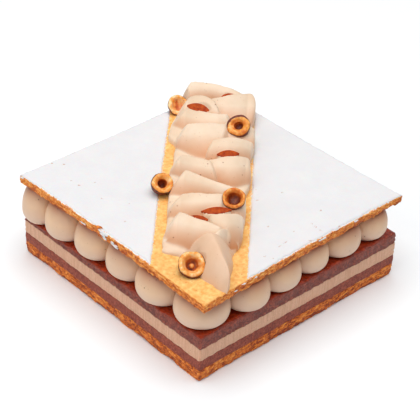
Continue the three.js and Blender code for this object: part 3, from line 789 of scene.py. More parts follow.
def top_sheet():
    """The sheet of pastry: flaky sides, a browned bare strip and dusted pastry under the sugar."""
    a, b, rim = square_grid(0, 1, SHEET_CELLS)
    plan = bowed(bilinear(SHEET_CORNERS, a, b))
    flat = level(plan)
    edge = np.minimum.reduce([a, 1 - a, b, 1 - b]) * 2 * HALF_SIDE
    v = along_v(plan)
    bare = smoothstep(STRIP_LEFT - 1.5, STRIP_LEFT + 0.5, v)
    bare *= 1 - smoothstep(STRIP_RIGHT - 0.5, STRIP_RIGHT + 1.5, v)
    bumps = 0.16 * rough(flat, 4.5, 301) + 0.09 * noise(flat, 1.6, 305)
    height = SHEET_TOP - 0.12 + bumps * bare - 0.1 * (1 - bare)
    height -= (0.3 + 0.35 * noise(flat, 2.2, 307)) * bell(edge, 0.8)
    top = np.column_stack([plan, height])
    outline = plan[rim]
    normals = outward_normals(outline)
    rim_flat = flat[rim]
    bite = 1.1 * torn(rim_flat, 6, 311, -0.1) + 0.7 * torn(rim_flat, 1.7, 313)
    edge_in = 0.35 * noise(rim_flat, 2.6, 317) + 0.2 * noise(rim_flat, 1.1, 319)
    top[rim, :2] += normals * edge_in[:, None]
    sugared = (v[rim] < STRIP_LEFT) | (v[rim] > STRIP_RIGHT)
    levels, relief, side_dust = [], [], []
    for drop in np.arange(1, SHEET_ROWS + 1) / SHEET_ROWS:
        z = top[rim, 2] + (SHEET_BOTTOM + bite - top[rim, 2]) * drop
        depth = flaky(np.column_stack([outline, z]), 1 - drop, SHEET_STRATA, 331)
        out = edge_in * (1 - drop) + 0.5 * depth - 0.35 * drop**4 - 0.2 * bite * drop
        levels.append(np.column_stack([outline + normals * out[:, None], z]))
        # Relief is painted shade and light here, darker towards the sheet's underside.
        relief.append(np.clip(0.6 + 0.75 * depth - 0.25 * drop**2, 0, 1))
        side_dust.append(np.where(sugared, 0.28 * max(0.0, 1 - 5 * drop), 0.0))
    for inward, bitten in ((2.6, 0.3), (5.0, 0.0)):
        levels.append(np.column_stack([outline - normals * inward, SHEET_BOTTOM + bitten * bite]))
        relief.append(np.full(len(rim), 0.4))
    points, faces = draped_slab(top, SHEET_CELLS, rim, levels)
    below = np.zeros(len(points) - len(top))
    band = np.minimum(a, b) * 2 * HALF_SIDE / np.maximum(sugar_retreat(plan), SUGAR_EDGE)
    worn = np.where(bare > 0.5, 1.0, smoothstep(0.5, 1.3, band))
    from_sugar = np.minimum(np.abs(v - STRIP_LEFT), np.abs(v - STRIP_RIGHT))
    top_dust = np.where(bare > 0.5, 0.55 * np.exp(-from_sugar / BARE_DUST_REACH), 0.9)
    top_dust = np.where((band < 1.5) & (bare < 0.5), 0.1 + 0.5 * band, top_dust)
    return new_piece(
        "top_pastry", points, faces, TOP_PASTRY, "top_pastry", ("top_pastry_sheet",),
        relief=np.concatenate([0.62 + 0.3 * noise(flat, 2.4, 355), *relief]),
        upper_side=np.concatenate([np.clip(edge / 0.8, 0, 1) * worn, below]),
        dust=np.concatenate([top_dust, *side_dust, np.zeros(2 * len(rim))]),
    )


base_crust()
top_sheet()

# -------- piped balls

# Shares of a ball's width that rest on the glaze and meet the sheet, as in its solid, and the
# height over its foot at which it is widest.
BALL_CONTACT = 0.66
BALL_TOP_CONTACT = 0.5
BALL_ROUNDNESS = 2.4
BALL_BELLY = 8.0
BALL_RINGS, BALL_COLUMNS = 44, 72
BALL_SINK = 0.3
BALL_GAP = 0.12
PRESS_EASE = 1.2
SHADE_REACH = 4.6


def superellipse(share, power):
    return np.maximum(0, 1 - np.abs(share) ** power) ** (1 / power)


def ball_measures(node):
    """Centre and radius of a ball, read from the flat disc where it meets the sheet."""
    points = cad_points(node)
    disc = points[points[:, 2] > SHEET_BOTTOM - 0.05][:, :2]
    centre = (disc.min(axis=0) + disc.max(axis=0)) / 2
    return centre, np.hypot(*(disc - centre).T).max() / BALL_TOP_CONTACT


BALL_NAMES = sorted(n for n in nodes if n.startswith("cream_ball_"))
BALLS = {name: ball_measures(name) for name in BALL_NAMES}


def cream_ball(name, seed):
    """A ball pressed flat by the sheet, and against each ball beside it."""
    centre, radius = BALLS[name]
    turn = round_steps(BALL_COLUMNS)
    bottom = glaze_height(*centre)
    belly = bottom + BALL_BELLY
    points = []
    for rise in 2 * np.arange(BALL_RINGS + 1) / BALL_RINGS - 1:
        contact = BALL_CONTACT if rise < 0 else BALL_TOP_CONTACT
        half_height = BALL_BELLY if rise < 0 else SHEET_BOTTOM + BALL_SINK - belly
        wide = radius * superellipse(rise * superellipse(contact, BALL_ROUNDNESS), BALL_ROUNDNESS)
        x, y = centre[0] + wide * np.cos(turn), centre[1] + wide * np.sin(turn)
        points.append(np.column_stack([x, y, np.full(BALL_COLUMNS, belly + rise * half_height)]))
    points = np.concatenate(points)
    around = points[:, :2] - centre
    outward = around / np.linalg.norm(around, axis=1)[:, None]
    uneven = 0.35 * noise(points, 11, seed) + 0.06 * noise(points, 2.5, seed + 1)
    points[:, :2] += outward * uneven[:, None]
    pressed = np.zeros(len(points))
    for other, (place, width) in BALLS.items():
        gap = np.linalg.norm(place - centre)
        if other == name or gap > radius + width:
            continue
        towards = (place - centre) / gap
        limit = gap * radius / (radius + width) - BALL_GAP
        ahead = (points[:, :2] - centre) @ towards
        over = np.maximum(0, ahead - limit + PRESS_EASE / 2)
        eased = np.where(over < PRESS_EASE, over**2 / (2 * PRESS_EASE), over - PRESS_EASE / 2)
        # Where balls press together, painted shade is laid on as well.
        pressed = np.maximum(pressed, np.clip(over / PRESS_EASE, 0, 1))
        points[:, :2] -= np.outer(np.minimum(eased, over), towards)
    points[:BALL_COLUMNS, 2] -= BALL_SINK
    # Painted shade: darker and browner under the sheet, and where the balls press together.
    under_sheet_shade = np.exp(-np.maximum(SHEET_BOTTOM - points[:, 2], 0) / SHADE_REACH)
    return new_piece(
        name.replace("cream_ball", "ball"), points, capped_rings(BALL_RINGS + 1, BALL_COLUMNS),
        CREAM, "piped_cream", (name,),
        depth=np.maximum(under_sheet_shade, 0.55 * pressed),
        # Painted light towards the ball's foot.
        underside=1 - smoothstep(-5.0, 6.0, points[:, 2] - belly),
    )


for number, ball_name in enumerate(BALL_NAMES):
    cream_ball(ball_name, 400 + 3 * number)

nodes["cream_core"].data.materials.clear()
nodes["cream_core"].data.materials.append(CREAM)

# -------- icing sugar

# Pits and scrapes where pastry shows through the sugar: u, v, length, width in millimetres
# and the turn of the long side from the v axis in degrees.
PITS = [
    (13.1, -97.6, 2.0, 1.2, 0), (12.8, -90.3, 2.2, 1.3, 0), (-3.9, -84.1, 1.8, 1.2, 20),
    (-8.6, -78.8, 2.4, 1.6, -10), (-4.5, -69.7, 1.6, 1.0, 0), (-20.7, -63.9, 2.4, 1.2, 0),
    (-24.1, -47.7, 1.4, 1.0, 0), (-42.4, -48.4, 2.0, 1.4, 0), (-2.9, 41.7, 1.8, 1.4, 0),
    (-19.1, 64.7, 2.0, 1.8, 0), (-38.6, 34.0, 2.0, 1.6, 0), (-41.9, 49.0, 1.5, 1.0, 0),
    (-1.4, 26.2, 2.2, 0.8, 10), (-12.8, 27.0, 3.0, 1.0, 25), (-23.2, 26.7, 2.0, 0.8, 0),
    (-67.8, 32.8, 2.2, 1.2, 15), (-69.2, 37.3, 2.0, 1.0, 0), (-33.0, 59.4, 2.4, 0.8, -50),
    (-36.0, 61.6, 3.4, 0.9, -54), (-39.0, 64.2, 3.0, 1.1, -35), (-57.0, 41.2, 5.0, 0.8, 52),
    (-53.2, 44.2, 3.6, 0.9, 48), (-49.9, 58.6, 5.0, 1.5, 4), (-34.1, 75.6, 3.0, 1.6, 0),
]
PIT_DEPTH = 0.4
ICING_ROWS, ICING_COLUMNS = 118, 220
ICING_INSET = 0.5
ICING_SINK = 0.45
RAGGED_REACH = 17


def pit_depth(plan):
    """1 in the middle of each pit, and 0 away from them."""
    u, v = along_u(plan), along_v(plan)
    deepest = np.zeros(len(plan))
    for pit_u, pit_v, long, wide, turned in PITS:
        major, minor = turned_by(v - pit_v, u - pit_u, turned)
        deepest = np.maximum(deepest, bell(major, long / 2) * bell(minor, wide / 2))
    return deepest


def icing_skin(side, seed):
    """A thin uneven layer of sifted sugar between the bare strip and one corner."""
    front, right, rear, left = SHEET_CORNERS
    tip, start = (left, STRIP_LEFT) if side == "left" else (right, STRIP_RIGHT)
    rows, columns = ICING_ROWS, ICING_COLUMNS
    tip_v = (tip[0] - tip[1]) / math.sqrt(2)
    way_out = np.sign(tip_v)
    v_rows = start + (tip_v - way_out * ICING_INSET * 1.5 - start) * np.linspace(0, 1, rows) ** 0.94

    def side_points(end):
        end_v = (end[0] - end[1]) / math.sqrt(2)
        return end + (tip - end) * ((v_rows - end_v) / (tip_v - end_v))[:, None]

    near, far = side_points(front), side_points(rear)
    length = np.maximum(np.linalg.norm(far - near, axis=1), 1e-6)
    trim = np.minimum(ICING_INSET * math.sqrt(2) / length, 0.45)[:, None]
    ends = trim + (1 - 2 * trim) * np.linspace(0, 1, columns)
    plan = (near[:, None] + (far - near)[:, None] * ends[:, :, None]).reshape(-1, 2)
    column = np.tile(np.arange(columns), rows)
    flat = level(plan)
    width = np.repeat(length, columns)
    along = np.minimum(column, columns - 1 - column) / (columns - 1) * width / math.sqrt(2)
    out = np.abs(np.repeat(v_rows, columns) - start)
    border = flat[:columns]
    shift = 0.3 * noise(border, 1.2, seed) + 0.25 * noise(border, 4.0, seed + 1)
    shift = way_out * np.tile(shift, rows) * np.exp(-out / 2.0)
    plan = plan + np.outer(shift, [1, -1]) / math.sqrt(2)
    rearward = np.repeat((far - near) / length[:, None], columns, axis=0)
    for end, way in ((near, 1), (far, -1)):
        rim_points = level(end)
        ragged = 0.3 * noise(rim_points, 1.0, seed + 2) + 0.3 * noise(rim_points, 3.0, seed + 3)
        if way == 1:
            ragged += sugar_retreat(end) * math.sqrt(2)
        run = (column if way == 1 else columns - 1 - column) / (columns - 1) * width
        reach = np.minimum(RAGGED_REACH, 0.9 * width)
        moved = np.minimum(np.repeat(ragged, columns), 0.4 * reach)
        moved *= np.clip(1 - run / reach, 0, 1) ** 2
        plan = plan + way * rearward * moved[:, None]
    plan = bowed(plan)
    edge = np.minimum(along, out)
    height = SHEET_TOP - 0.1 + (ICING_TOP - SHEET_TOP) * (0.15 + 0.85 * smoothstep(0, 1.1, edge))
    height += 0.1 * rough(flat, 7, seed + 4) * smoothstep(0, 2, edge)
    height += 0.03 * noise(flat, 1.2, seed + 6)
    pit = pit_depth(plan)
    upper = np.column_stack([plan, height - PIT_DEPTH * pit])
    points, faces, lower_count = walled_grid(upper, rows, columns, SHEET_TOP - ICING_SINK)
    if side == "right":
        faces = turned_over(faces)
    pit = np.concatenate([pit, np.zeros(lower_count)])
    name = "icing_" + side
    return new_piece(name, points, faces, ICING, "icing_sugar", ("icing_sugar_" + side,), pit=pit)


icing_skin("left", 501)
icing_skin("right", 521)

# -------- piped ruffle

# Each fold is one stroke of the flat nozzle: crest holds the left end, middle and right end of its
# upper edge as (u, v, height above the sheet), and foot the three places below where its front
# face would meet the sheet. A fold whose end comes near the side of the ruffle runs out to it.
FOLDS = [
    (((90, -18, 17.5), (90, -9, 18), (88, 15, 12)), ((76, -23), (79, -3), (74, 21))),
    (((74, -8, 14.5), (79, 6, 16), (86, 17, 14)), ((62, -6), (55, 10), (58, 22))),
    (((77, -18, 14.5), (74.5, -11, 17.5), (68.5, -1.5, 17)), ((60, -24), (57, -13), (55, 3))),
    (((66, -19, 13), (59, -8, 15), (60, 6, 14)), ((54, -27), (46, -16), (47, 8))),
    (((44, -17.5, 15), (43, -7, 17), (46, 6, 15)), ((32, -25), (20, -13), (19, 2))),
    (((50, 6, 14), (52, 12, 14), (50, 20, 13)), ((34, 4), (32, 12), (34, 23))),
    (((27, -1, 15), (29.5, 8, 16), (33, 19.5, 13)), ((15, -5), (15, 8), (22, 22))),
    (((12, -19, 13.5), (5.6, -11, 16), (2.5, -1.5, 16.5)), ((1, -25), (-8, -13), (-12, 3))),
    (((6, -3.4, 14.5), (6.5, 8.4, 17), (11.5, 18.4, 15)), ((-6, 0), (-11, 10), (-5, 22))),
    (((-7, -15.5, 15.5), (-18, -1, 17), (-23, 18.3, 14.5)), ((-20, -24), (-26, -7), (-34, 18))),
    (((-30, -16, 14), (-32, -6, 16), (-28.5, 7.5, 14)), ((-42, -25), (-46, -10), (-44, 6))),
    (((-29, 6.4, 13), (-31, 12.8, 14), (-29, 19.8, 11)), ((-40, 7), (-42, 13), (-41, 21))),
    (((-50, -16.5, 15.5), (-57.4, -7.8, 17), (-64, 7, 16)), ((-66, -23), (-71, -13), (-72, 4))),
    (((-53.5, 0.5, 16), (-52, 9.4, 17), (-47.5, 17.4, 14)), ((-65, 2), (-68, 13), (-63, 20))),
    (((-70, 4, 15), (-66, 7, 16), (-62, 10, 13)), ((-78, 7), (-74, 10), (-67, 13))),
    (((-62, -21, 4), (-67, -13, 4), (-65, -4, 4)), ((-72, -24), (-74, -14), (-73, -5))),
]
# Places along u where the left and right sides of the ruffle stand, and their v there.
LEFT_SIDE = [
    (-103, 11.6), (-102, 9.5), (-97, 4.0), (-92, -1.4), (-85, -5.7), (-77, -9.0), (-75, -11),
    (-73, -15), (-71, -22.5), (-66, -24.9), (-52, -24.5), (-44, -24.2), (-29, -25), (-14, -25),
    (9, -26), (16, -24.8), (28, -24.9), (41, -25.5), (45, -28.6), (55, -29.2), (61, -28.6),
    (73, -25), (88, -23.5), (96, -22.5),
]
RIGHT_SIDE = [
    (-103, 12.8), (-100, 13.8), (-93, 14.2), (-83, 15), (-77, 15.2), (-71, 14.6), (-66, 16),
    (-62, 18), (-56, 19.5), (-46, 19.8), (-34, 20.8), (-20, 20), (-12, 19.8), (-6, 21.4),
    (1, 22.8), (9, 22.1), (27, 22.2), (34, 23.6), (47, 24), (55, 23.4), (62, 21.8), (69, 23),
    (84, 22.6), (90, 20), (96, 17),
]
# Places along u, and how square the ruffle's section is towards each side there.
LEFT_ROUNDING = [(-103, 4), (55, 5), (80, 10), (96, 14)]
RIGHT_ROUNDING = [(-103, 8), (60, 8), (84, 20), (96, 20)]
# The last stroke runs forwards to a point: u, then v and height of its ridge.
TAIL_RIDGE = [
    (-103, 12.4, 0.2), (-102, 12.9, 2.4), (-99.8, 13.2, 6.6), (-97, 12.9, 9.8), (-93.3, 11.4, 12.4),
    (-89, 9.6, 14.4), (-83, 7.0, 16), (-78, 4.6, 16.6), (-72, 2.6, 17), (-66, 1.0, 16),
]
TAIL_LEFT_AT_REAR, TAIL_REAR, TAIL_FADE = -11.0, -67.0, 5
# Shares of painted shade on the tail and on the low skirt before the folds, and the skirt's height.
TAIL_SHADE, SKIRT_SHADE, SKIRT_HEIGHT = 0.58, 0.5, 4.8
BED_FRONT, BED_REAR, BED_HEIGHT = -64, 91, 5
FOLD_BLEND, FOLD_REAR, MIN_FACE = 0.7, 2.2, 3
FACE_CURVE, BACK_CURVE = (2.1, 0.6, 0.06), 0.8
END_ROLL, SIDE_ROLL, INNER_REACH = 3.6, 7.0, 2.5
END_ROLL_CURVE, SIDE_ROLL_CURVE = (2.6, 0.5), (1.35, 0.75)
RUNS_OUT_LEFT, RUNS_OUT_RIGHT, LOW_FOLD = -15, 13, 5
RUFFLE_STEP, RUFFLE_COLUMNS, RUFFLE_SINK = 0.42, 136, 0.7

# Hazelnut halves. centre is that of the cut face (u, v, height above the sheet), and lean is how
# far the face leans, towards a direction in degrees from the front corner towards the right one.
# depth, hollow (its radius), hollow_depth and nub (its height) are shares of the radius. skin_side
# is the side of the rim with the most skin, counted from its rear side to its left one.
NUT_FIELDS = (
    "centre", "radius", "depth", "lean", "towards", "hollow", "hollow_depth", "nub", "skin_side",
    "skin_wide", "fair",
)
NUT_ROWS = [
    ((-86.8, -7.4, 5.6), 7.8, 0.86, 33, -8, 0.46, 0.34, 0.24, 165, 0.08, 0.75),
    ((-12.4, -29.0, 8.2), 6.6, 1.25, 36, -20, 0.44, 0.7, 0.0, 20, 0.12, 0.6),
    ((-32.8, 13.4, 14.6), 6.9, 0.86, 26, 5, 0.6, 0.55, 0.0, 200, 0.0, 0.2),
    ((44.6, 13.4, 15.6), 7.2, 0.86, 36, 22, 0.4, 0.5, 0.0, 48, 0.5, 0.4),
    ((81.3, -25.4, 5.2), 6.6, 0.86, 42, -20, 0.5, 0.1, 0.0, 170, 0.02, 0.9),
]
HAZELNUTS = [dict(zip(NUT_FIELDS, row)) for row in NUT_ROWS]
NUT_COLUMNS, NUT_BACK_RINGS, NUT_RIM_RINGS = 84, 16, 14
SEAT_DEPTH, SEAT_WIDTH, SEAT_GAP = 0.92, 0.97, 0.3

# Pools of caramel: centre (u, v), height above the sheet, half length, half width, turn in
# degrees and how steeply the pool climbs the face of cream behind it.
POOLS = [
    (83.2, 5.2, 13.2, 4.6, 1.8, 20, 0.3),
    (65.2, -11.9, 13.5, 7.8, 3.1, -12, 0.55),
    (17.0, 8.2, 12.4, 6.8, 2.8, 7, 0.3),
    (-42.4, 3.8, 12.0, 8.8, 2.5, 8, 0.3),
    (-52.2, -5.4, 12.8, 5.8, 1.9, -10, 0.3),
]
POOL_BANK, POOL_BANK_WIDTH, POOL_BED = 2.0, 1.6, 0.7
POOL_COLUMNS, POOL_CROWN = 64, 0.3


def smooth_through(values, knots):
    """A smooth curve through (place, value) knots that are sorted by place."""
    places, known = np.array(knots, float).T
    slopes = np.gradient(known, places)
    k = np.clip(np.searchsorted(places, values) - 1, 0, len(places) - 2)
    step = places[k + 1] - places[k]
    t = np.clip((values - places[k]) / step, 0, 1)
    rise = known[k + 1] - known[k]
    bend = (slopes[k] * step - rise) * (1 - t) - (slopes[k + 1] * step - rise) * t
    return known[k] + t * rise + t * (1 - t) * bend


def three_point(knots, values):
    """The parabola through three (place, value) knots, held level beyond its ends."""
    (a, fa), (b, fb), (c, fc) = knots
    x = np.clip(values, a - 1, c + 1)
    return (
        fa * (x - b) * (x - c) / ((a - b) * (a - c))
        + fb * (x - a) * (x - c) / ((b - a) * (b - c))
        + fc * (x - a) * (x - b) / ((c - a) * (c - b))
    )


def past_crest(fold, u, v):
    """Distance behind a fold's crest, and the share of the way down its face."""
    crest_u, foot_u = [three_point([(q[1], q[0]) for q in line], v) for line in fold]
    return u - crest_u, (crest_u - u) / np.maximum(crest_u - foot_u, MIN_FACE)


def rolled(inside, width, curve):
    """0 at the rolled end of a fold, rising to 1 the width inside it."""
    return (1 - np.clip(1 - inside / width, 0, 1) ** curve[0]) ** curve[1]


def fold_height(fold, u, v):
    crest, foot = fold
    behind, ahead = past_crest(fold, u, v)
    share = np.clip(ahead, 0, 1)
    bulge, roundness, lean = FACE_CURVE
    face = np.clip(1 - share**bulge, 0, 1) ** roundness - lean * share
    back = np.clip(1 - behind / FOLD_REAR, 0, 1) ** BACK_CURVE
    reach = np.where(ahead >= 0, face, back)
    low, high = crest[0][1], crest[2][1]
    width = min(END_ROLL, 0.3 * (high - low))
    if crest[1][2] > LOW_FOLD:
        edge = low + (foot[0][1] - low) * share
        if low > RUNS_OUT_LEFT:
            reach = reach * rolled(v - edge + INNER_REACH, width, END_ROLL_CURVE)
        else:
            reach = reach * rolled(v - edge + SIDE_ROLL, SIDE_ROLL, SIDE_ROLL_CURVE)
    if high < RUNS_OUT_RIGHT:
        edge = high + (foot[2][1] - high) * share
        reach = reach * rolled(edge + INNER_REACH - v, width, END_ROLL_CURVE)
    return three_point([(q[1], q[2]) for q in crest], v) * reach


def tail_height(u, v, left, right):
    ridge_v = smooth_through(u, [(q[0], q[1]) for q in TAIL_RIDGE])
    ridge_z = smooth_through(u, [(q[0], q[2]) for q in TAIL_RIDGE])
    rear_left = np.minimum(TAIL_LEFT_AT_REAR + 0.2 * (TAIL_REAR - u), ridge_v - 4)
    left = np.where(u > TAIL_REAR - 2 * TAIL_FADE, rear_left, left)
    on_left = np.clip((ridge_v - v) / np.maximum(ridge_v - left, 0.5), 0, 1)
    on_right = np.clip((v - ridge_v) / np.maximum(right - ridge_v, 0.5), 0, 1)
    side = np.where(v < ridge_v, (1 - on_left**1.8) ** 0.75, (1 - on_right**1.6) ** 0.7)
    past = np.clip((u - TAIL_REAR) / TAIL_FADE + 1, 0, 1)
    return ridge_z * side * np.sqrt(1 - past**2)


def ruffle_height(u, v, left, right):
    """Height of the ruffle above the sheet."""
    body = (u > BED_FRONT) & (u < BED_REAR)
    total = np.where(body, np.expm1(BED_HEIGHT / FOLD_BLEND), 0.0)
    for fold in FOLDS:
        total += np.expm1(np.maximum(fold_height(fold, u, v), 0) / FOLD_BLEND)
    return np.maximum(FOLD_BLEND * np.log1p(total), tail_height(u, v, left, right))


def fold_crease_shade(u, v, height):
    """Painted shade, 0 on the fold crests and 1 deep in the creases in front of their faces."""
    deep = np.zeros(len(u))
    for fold in FOLDS:
        if fold[0][1][2] < LOW_FOLD:
            continue
        own_height = fold_height(fold, u, v)
        own = np.exp((own_height - height) / FOLD_BLEND) * smoothstep(1.0, 3.5, own_height)
        deep += np.clip(own, 0, 1) * np.clip(past_crest(fold, u, v)[1], 0, 1.2)
    skirt = (u < BED_FRONT) & (height < SKIRT_HEIGHT)
    return np.where(skirt, np.maximum(deep, SKIRT_SHADE), deep)


def pool_distance(u, v, pool):
    """1 on the rim of a pool, less inside it."""
    pool_u, pool_v, _, long, wide, turned, _ = pool
    major, minor = turned_by(v - pool_v, u - pool_u, turned)
    major, minor = np.abs(major / long), np.abs(minor / wide)
    return minor / np.maximum(1 - major**2, 1e-3) + np.maximum(major - 1, 0)


def pool_plane(u, pool):
    """Height of a pool, which climbs a little up the face of cream behind it."""
    return pool[2] + pool[6] * (u - pool[0])


def hollowed(height, u, v):
    """The ruffle with banks and hollows for the pools, and seats for the hazelnuts."""
    for pool in POOLS:
        outside = (pool_distance(u, v, pool) - 1) * pool[4]
        apart = np.maximum(outside, 0)
        plane = pool_plane(u, pool)
        near = outside < POOL_BANK_WIDTH
        height = np.where(near, np.maximum(height, plane - 0.2 - 1.6 * apart**1.5), height)
        bank = plane + 0.1 + POOL_BANK * apart
        height = np.where(near, np.minimum(height, bank), height)
        height = np.where(outside < -0.1, np.minimum(height, bank - POOL_BED), height)
    for nut in HAZELNUTS:
        nut_u, nut_v, nut_height = nut["centre"]
        reach = np.hypot(u - nut_u, v - nut_v) / nut["radius"]
        bowl = SEAT_DEPTH * nut["radius"] * np.sqrt(np.clip(1 - reach**2, 0, 1))
        seat = nut_height - bowl + SEAT_GAP
        height = np.where(reach < SEAT_WIDTH, np.minimum(height, seat), height)
    return height


def to_cake(points):
    """From (u, v, height above the sheet) to the cake's frame."""
    x = (points[:, 0] + points[:, 1]) / math.sqrt(2)
    y = (points[:, 0] - points[:, 1]) / math.sqrt(2)
    return np.column_stack([x, y, points[:, 2] + SHEET_TOP])


def ruffle():
    front, rear = LEFT_SIDE[0][0], LEFT_SIDE[-1][0]
    rows = round((rear - front) / RUFFLE_STEP) + 1
    places = np.linspace(front, rear, rows)
    u = np.repeat(places, RUFFLE_COLUMNS)
    low = np.repeat(smooth_through(places, LEFT_SIDE), RUFFLE_COLUMNS)
    high = np.repeat(smooth_through(places, RIGHT_SIDE), RUFFLE_COLUMNS)
    side = np.tile(np.sin(np.linspace(-math.pi / 2, math.pi / 2, RUFFLE_COLUMNS)), rows)
    v = (low + high) / 2 + side * (high - low) / 2
    flat = np.column_stack([u, v, np.zeros(len(u))])
    sway_u, sway_v = u + 0.6 * noise(flat, 8, 611), v + 0.5 * noise(flat, 8, 612)
    height = ruffle_height(sway_u, sway_v, low, high)
    # Attribute depth is painted shade: deepest in the creases, a set share on the tail, and a
    # little on the walls.
    depth = fold_crease_shade(sway_u, sway_v, height)
    on_tail = smoothstep(-0.3, 0.3, tail_height(sway_u, sway_v, low, high) - height + 0.5)
    depth = depth + (TAIL_SHADE - depth) * on_tail
    left_power, right_power = [np.interp(u, *zip(*r)) for r in (LEFT_ROUNDING, RIGHT_ROUNDING)]
    power = np.where(side < 0, left_power, right_power)
    height = hollowed(height, u, v) * superellipse(side, power)
    height += (0.16 * noise(flat, 6, 601) + 0.05 * noise(flat, 2.2, 602)) * (height > 1)
    height = np.where(height < 0.35, -0.3, height)
    top = np.column_stack([u, v, height])
    points, faces, base_count = walled_grid(top, rows, RUFFLE_COLUMNS, -RUFFLE_SINK)
    # The walls get a little painted shade.
    depth = np.concatenate([depth, np.full(base_count, 0.25)])
    replaced = ("cream_ruffle",)
    points = to_cake(points)
    return new_piece("ruffle", points, faces, RUFFLE, "ruffle_cream", replaced, depth=depth)


def caramel_pool(number, pool):
    """A lens of caramel lying on the cream behind a crest."""
    pool_u, pool_v, _, long, wide, turned, _ = pool
    turn = round_steps(POOL_COLUMNS)
    dome = [(math.cos(t), POOL_CROWN * math.sin(t) - 0.1) for t in np.linspace(0.1, 1.53, 14)]
    levels = []
    for share, rise in [(0.6, -2.6), (0.97, -2.2), (1.0, -0.6), *dome]:
        major = long * share * np.cos(turn)
        minor = wide * share * np.sin(turn) * np.abs(np.sin(turn))
        along, forth = turned_by(major, minor, -turned)
        u = pool_u + forth
        levels.append(np.column_stack([u, pool_v + along, pool_plane(u, pool) + rise]))
    points = to_cake(np.concatenate(levels))
    points[:, 2] += 0.06 * noise(points, 2.5, 640 + number)
    faces = capped_rings(len(levels), POOL_COLUMNS)
    replaced = (f"caramel_pool_{number}",)
    return new_piece(f"caramel_{number}", points, faces, CARAMEL, "caramel", replaced)


ruffle()
for number, pool in enumerate(POOLS, 1):
    caramel_pool(number, pool)

# -------- hazelnut halves


def nut_profile(nut):
    """Rings from a nut's back over its rim to the middle of its hollow, in shares of its radius:
    distance from the axis, height, how far out on the rim, and how dark the painted shade in the
    hollow is."""
    hollow, hollow_depth, nub = nut["hollow"], nut["hollow_depth"], nut["nub"]
    profile = []
    for sweep in np.arange(1, NUT_BACK_RINGS + 1) / NUT_BACK_RINGS * math.pi / 2:
        profile.append((math.sin(sweep) ** 0.8, -nut["depth"] * math.cos(sweep) ** 0.8, 1.0, 0.0))
    for t in np.arange(1, NUT_RIM_RINGS + 1) / NUT_RIM_RINGS:
        rise = 0.16 * math.sin(math.pi * min(1, 1.15 * t)) ** 0.7 - 0.08 * t**3
        profile.append((1 - (1 - hollow) * t, rise, 1 - t, 0.35 * t**3))
    # Painted shade in the hollow: the deeper the hollow, the darker.
    darkest = min(1.0, 0.25 + 1.8 * hollow_depth)
    for t in np.arange(1, NUT_RIM_RINGS + 1) / NUT_RIM_RINGS:
        share = max(hollow * math.cos(t * math.pi / 2) ** 0.8, 0.004)
        dip = hollow_depth * math.sin(t * math.pi / 2) ** 1.3
        rise = nub * smoothstep(0.7, 0.92, t) - 0.08 - dip
        pale = 0.62 * (nub > 0) * smoothstep(0.7, 0.9, t)
        profile.append((share, rise, 0.0, min(1.0, 0.35 + 1.1 * t) * darkest - pale))
    return np.array(profile)


def hazelnut(number, nut):
    u, v, height = nut["centre"]
    radius, seed = nut["radius"], 700 + 10 * number
    profile = nut_profile(nut)
    share, rise, outer, dark = np.repeat(profile, NUT_COLUMNS, axis=0).T
    wide, angle = share * radius, np.tile(round_steps(NUT_COLUMNS), len(profile))
    around = np.column_stack([np.cos(angle), np.sin(angle)])
    points = np.column_stack([wide[:, None] * around, rise * radius])
    lump = points + 60 * number
    uneven = 0.5 * noise(lump, 4.0, seed) * share + 0.14 * noise(lump, 1.4, seed + 1)
    points[:, :2] += around * uneven[:, None]
    points[:, 2] += 0.4 * noise(lump, 3.2, seed + 2) + 0.16 * noise(lump, 1.2, seed + 3)
    skin_side = np.cos(angle - math.radians(nut["skin_side"]))
    crescent = nut["skin_wide"] * np.clip(skin_side + 0.15, 0, 1)
    crescent = crescent + 0.05 * noise(lump, 1.3, seed + 4)
    skin = np.where(outer >= 1, 1.0, smoothstep(-0.03, 0.03, outer - 1 + crescent))
    dark = np.clip(dark + 0.2 * noise(lump, 1.6, seed + 5) * (dark > 0.05), 0, 1)
    tilt = Matrix.Rotation(math.radians(-nut["lean"]), 3, "Y")
    swing = Matrix.Rotation(math.radians(-nut["towards"]), 3, "Z")
    placed = to_cake(points @ np.array(swing @ tilt).T * [1, -1, 1] + [u, v, height])
    placed[:, 2] = np.maximum(placed[:, 2], SHEET_TOP - 0.2)
    return new_piece(
        f"hazelnut_{number}", placed, capped_rings(len(profile), NUT_COLUMNS),
        HAZELNUT, "hazelnut", (f"hazelnut_half_{number}",),
        skin=skin, hollow=dark, fair=np.full(len(skin), nut["fair"]),
    )


for number, nut in enumerate(HAZELNUTS, 1):
    hazelnut(number, nut)

# -------- chips on the sheet

# Chips of sugar: the side they hang on, their place along it, their drop below the sheet's
# upper side, half their length and half their height.
SUGAR_CHIPS = [
    ("x", 22.6, 3.6, 2.2, 0.55), ("x", 4.6, 1.2, 3.4, 1.0), ("x", 2.6, 3.4, 2.0, 0.6),
    ("x", -6.8, 3.8, 3.2, 0.65), ("x", -4.2, 2.6, 1.6, 0.5), ("x", 78.2, 0.8, 1.4, 0.6),
    ("y", -50.2, 0.9, 1.5, 0.42), ("y", -56.6, 2.4, 0.9, 0.3), ("y", -40.8, 1.0, 1.0, 0.35),
    ("y", 14.0, 0.8, 3.4, 0.4), ("y", 42.0, 0.8, 1.8, 0.4),
]
SUGAR_CHIP_THICK, SUGAR_CHIP_SINK, SUGAR_CHIP_LEAN = 0.45, 0.2, 0.25
# A splinter of pastry on the sugar: its u and v, half its length and width, its thickness, and
# the way it points.
SPLINTER_PLACE, SPLINTER_SIZE, SPLINTER_WAY = (-49.7, -63.4), (2.9, 0.8, 0.4), (0.45, -0.89, 0)
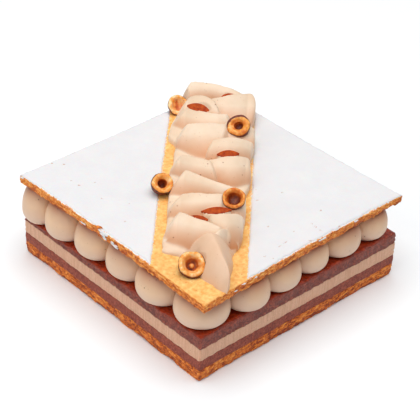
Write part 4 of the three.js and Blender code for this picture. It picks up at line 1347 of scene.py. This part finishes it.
# A chip's section: shares of its size and of its thickness.
CHIP_LEVELS = [(0.85, -0.6), (1.0, 0.1), (0.9, 0.7), (0.5, 1.0)]
CHIP_COLUMNS = 18


def chip(centre, long_way, out_way, size, seed):
    """Points and faces of a small ragged chip that lies against a surface facing out_way."""
    half_long, half_wide, thick = size
    turn = round_steps(CHIP_COLUMNS)
    long_way, out_way = np.array(long_way, float), np.array(out_way, float)
    across = np.cross(out_way, long_way)
    ring = np.column_stack([np.cos(turn), np.sin(turn), np.full(CHIP_COLUMNS, float(seed))])
    ragged = 1 + 0.75 * noise(ring, 0.5, seed)
    plan = np.outer(half_long * ragged * np.cos(turn), long_way)
    plan += np.outer(half_wide * ragged * np.sin(turn), across)
    points = [centre + share * plan + rise * thick * out_way for share, rise in CHIP_LEVELS]
    return np.concatenate(points), capped_rings(len(CHIP_LEVELS), CHIP_COLUMNS)


def sugar_chips():
    points, faces = [], []
    front, right, _, left = SHEET_CORNERS
    for number, (side, place, drop, half_long, half_wide) in enumerate(SUGAR_CHIPS):
        share = (place + HALF_SIDE) / (2 * HALF_SIDE)
        face = bowed((front + ((right if side == "y" else left) - front) * share)[None])[0]
        centre, along = np.array([place, place, SHEET_TOP - drop]), np.zeros(3)
        out = np.array([0, 0, SUGAR_CHIP_LEAN])
        axis = 0 if side == "x" else 1
        centre[axis] = face[axis] - SUGAR_CHIP_SINK
        along[1 - axis], out[axis] = 1, -1
        size = (half_long, half_wide, SUGAR_CHIP_THICK)
        more, quads = chip(centre, along, out, size, 810 + number)
        start = len(points) * len(more)
        points.append(more)
        faces.extend([[start + i for i in quad] for quad in quads])
    return new_piece("sugar_chips", np.concatenate(points), faces, ICING, "icing_sugar")


def pastry_splinter():
    centre = to_cake(np.array([[*SPLINTER_PLACE, ICING_TOP - SHEET_TOP]]))[0]
    points, faces = chip(centre, SPLINTER_WAY, (0, 0, 1), SPLINTER_SIZE, 840)
    relief = np.full(len(points), 0.5)
    return new_piece("pastry_splinter", points, faces, TOP_PASTRY, "top_pastry", relief=relief)


sugar_chips()
pastry_splinter()
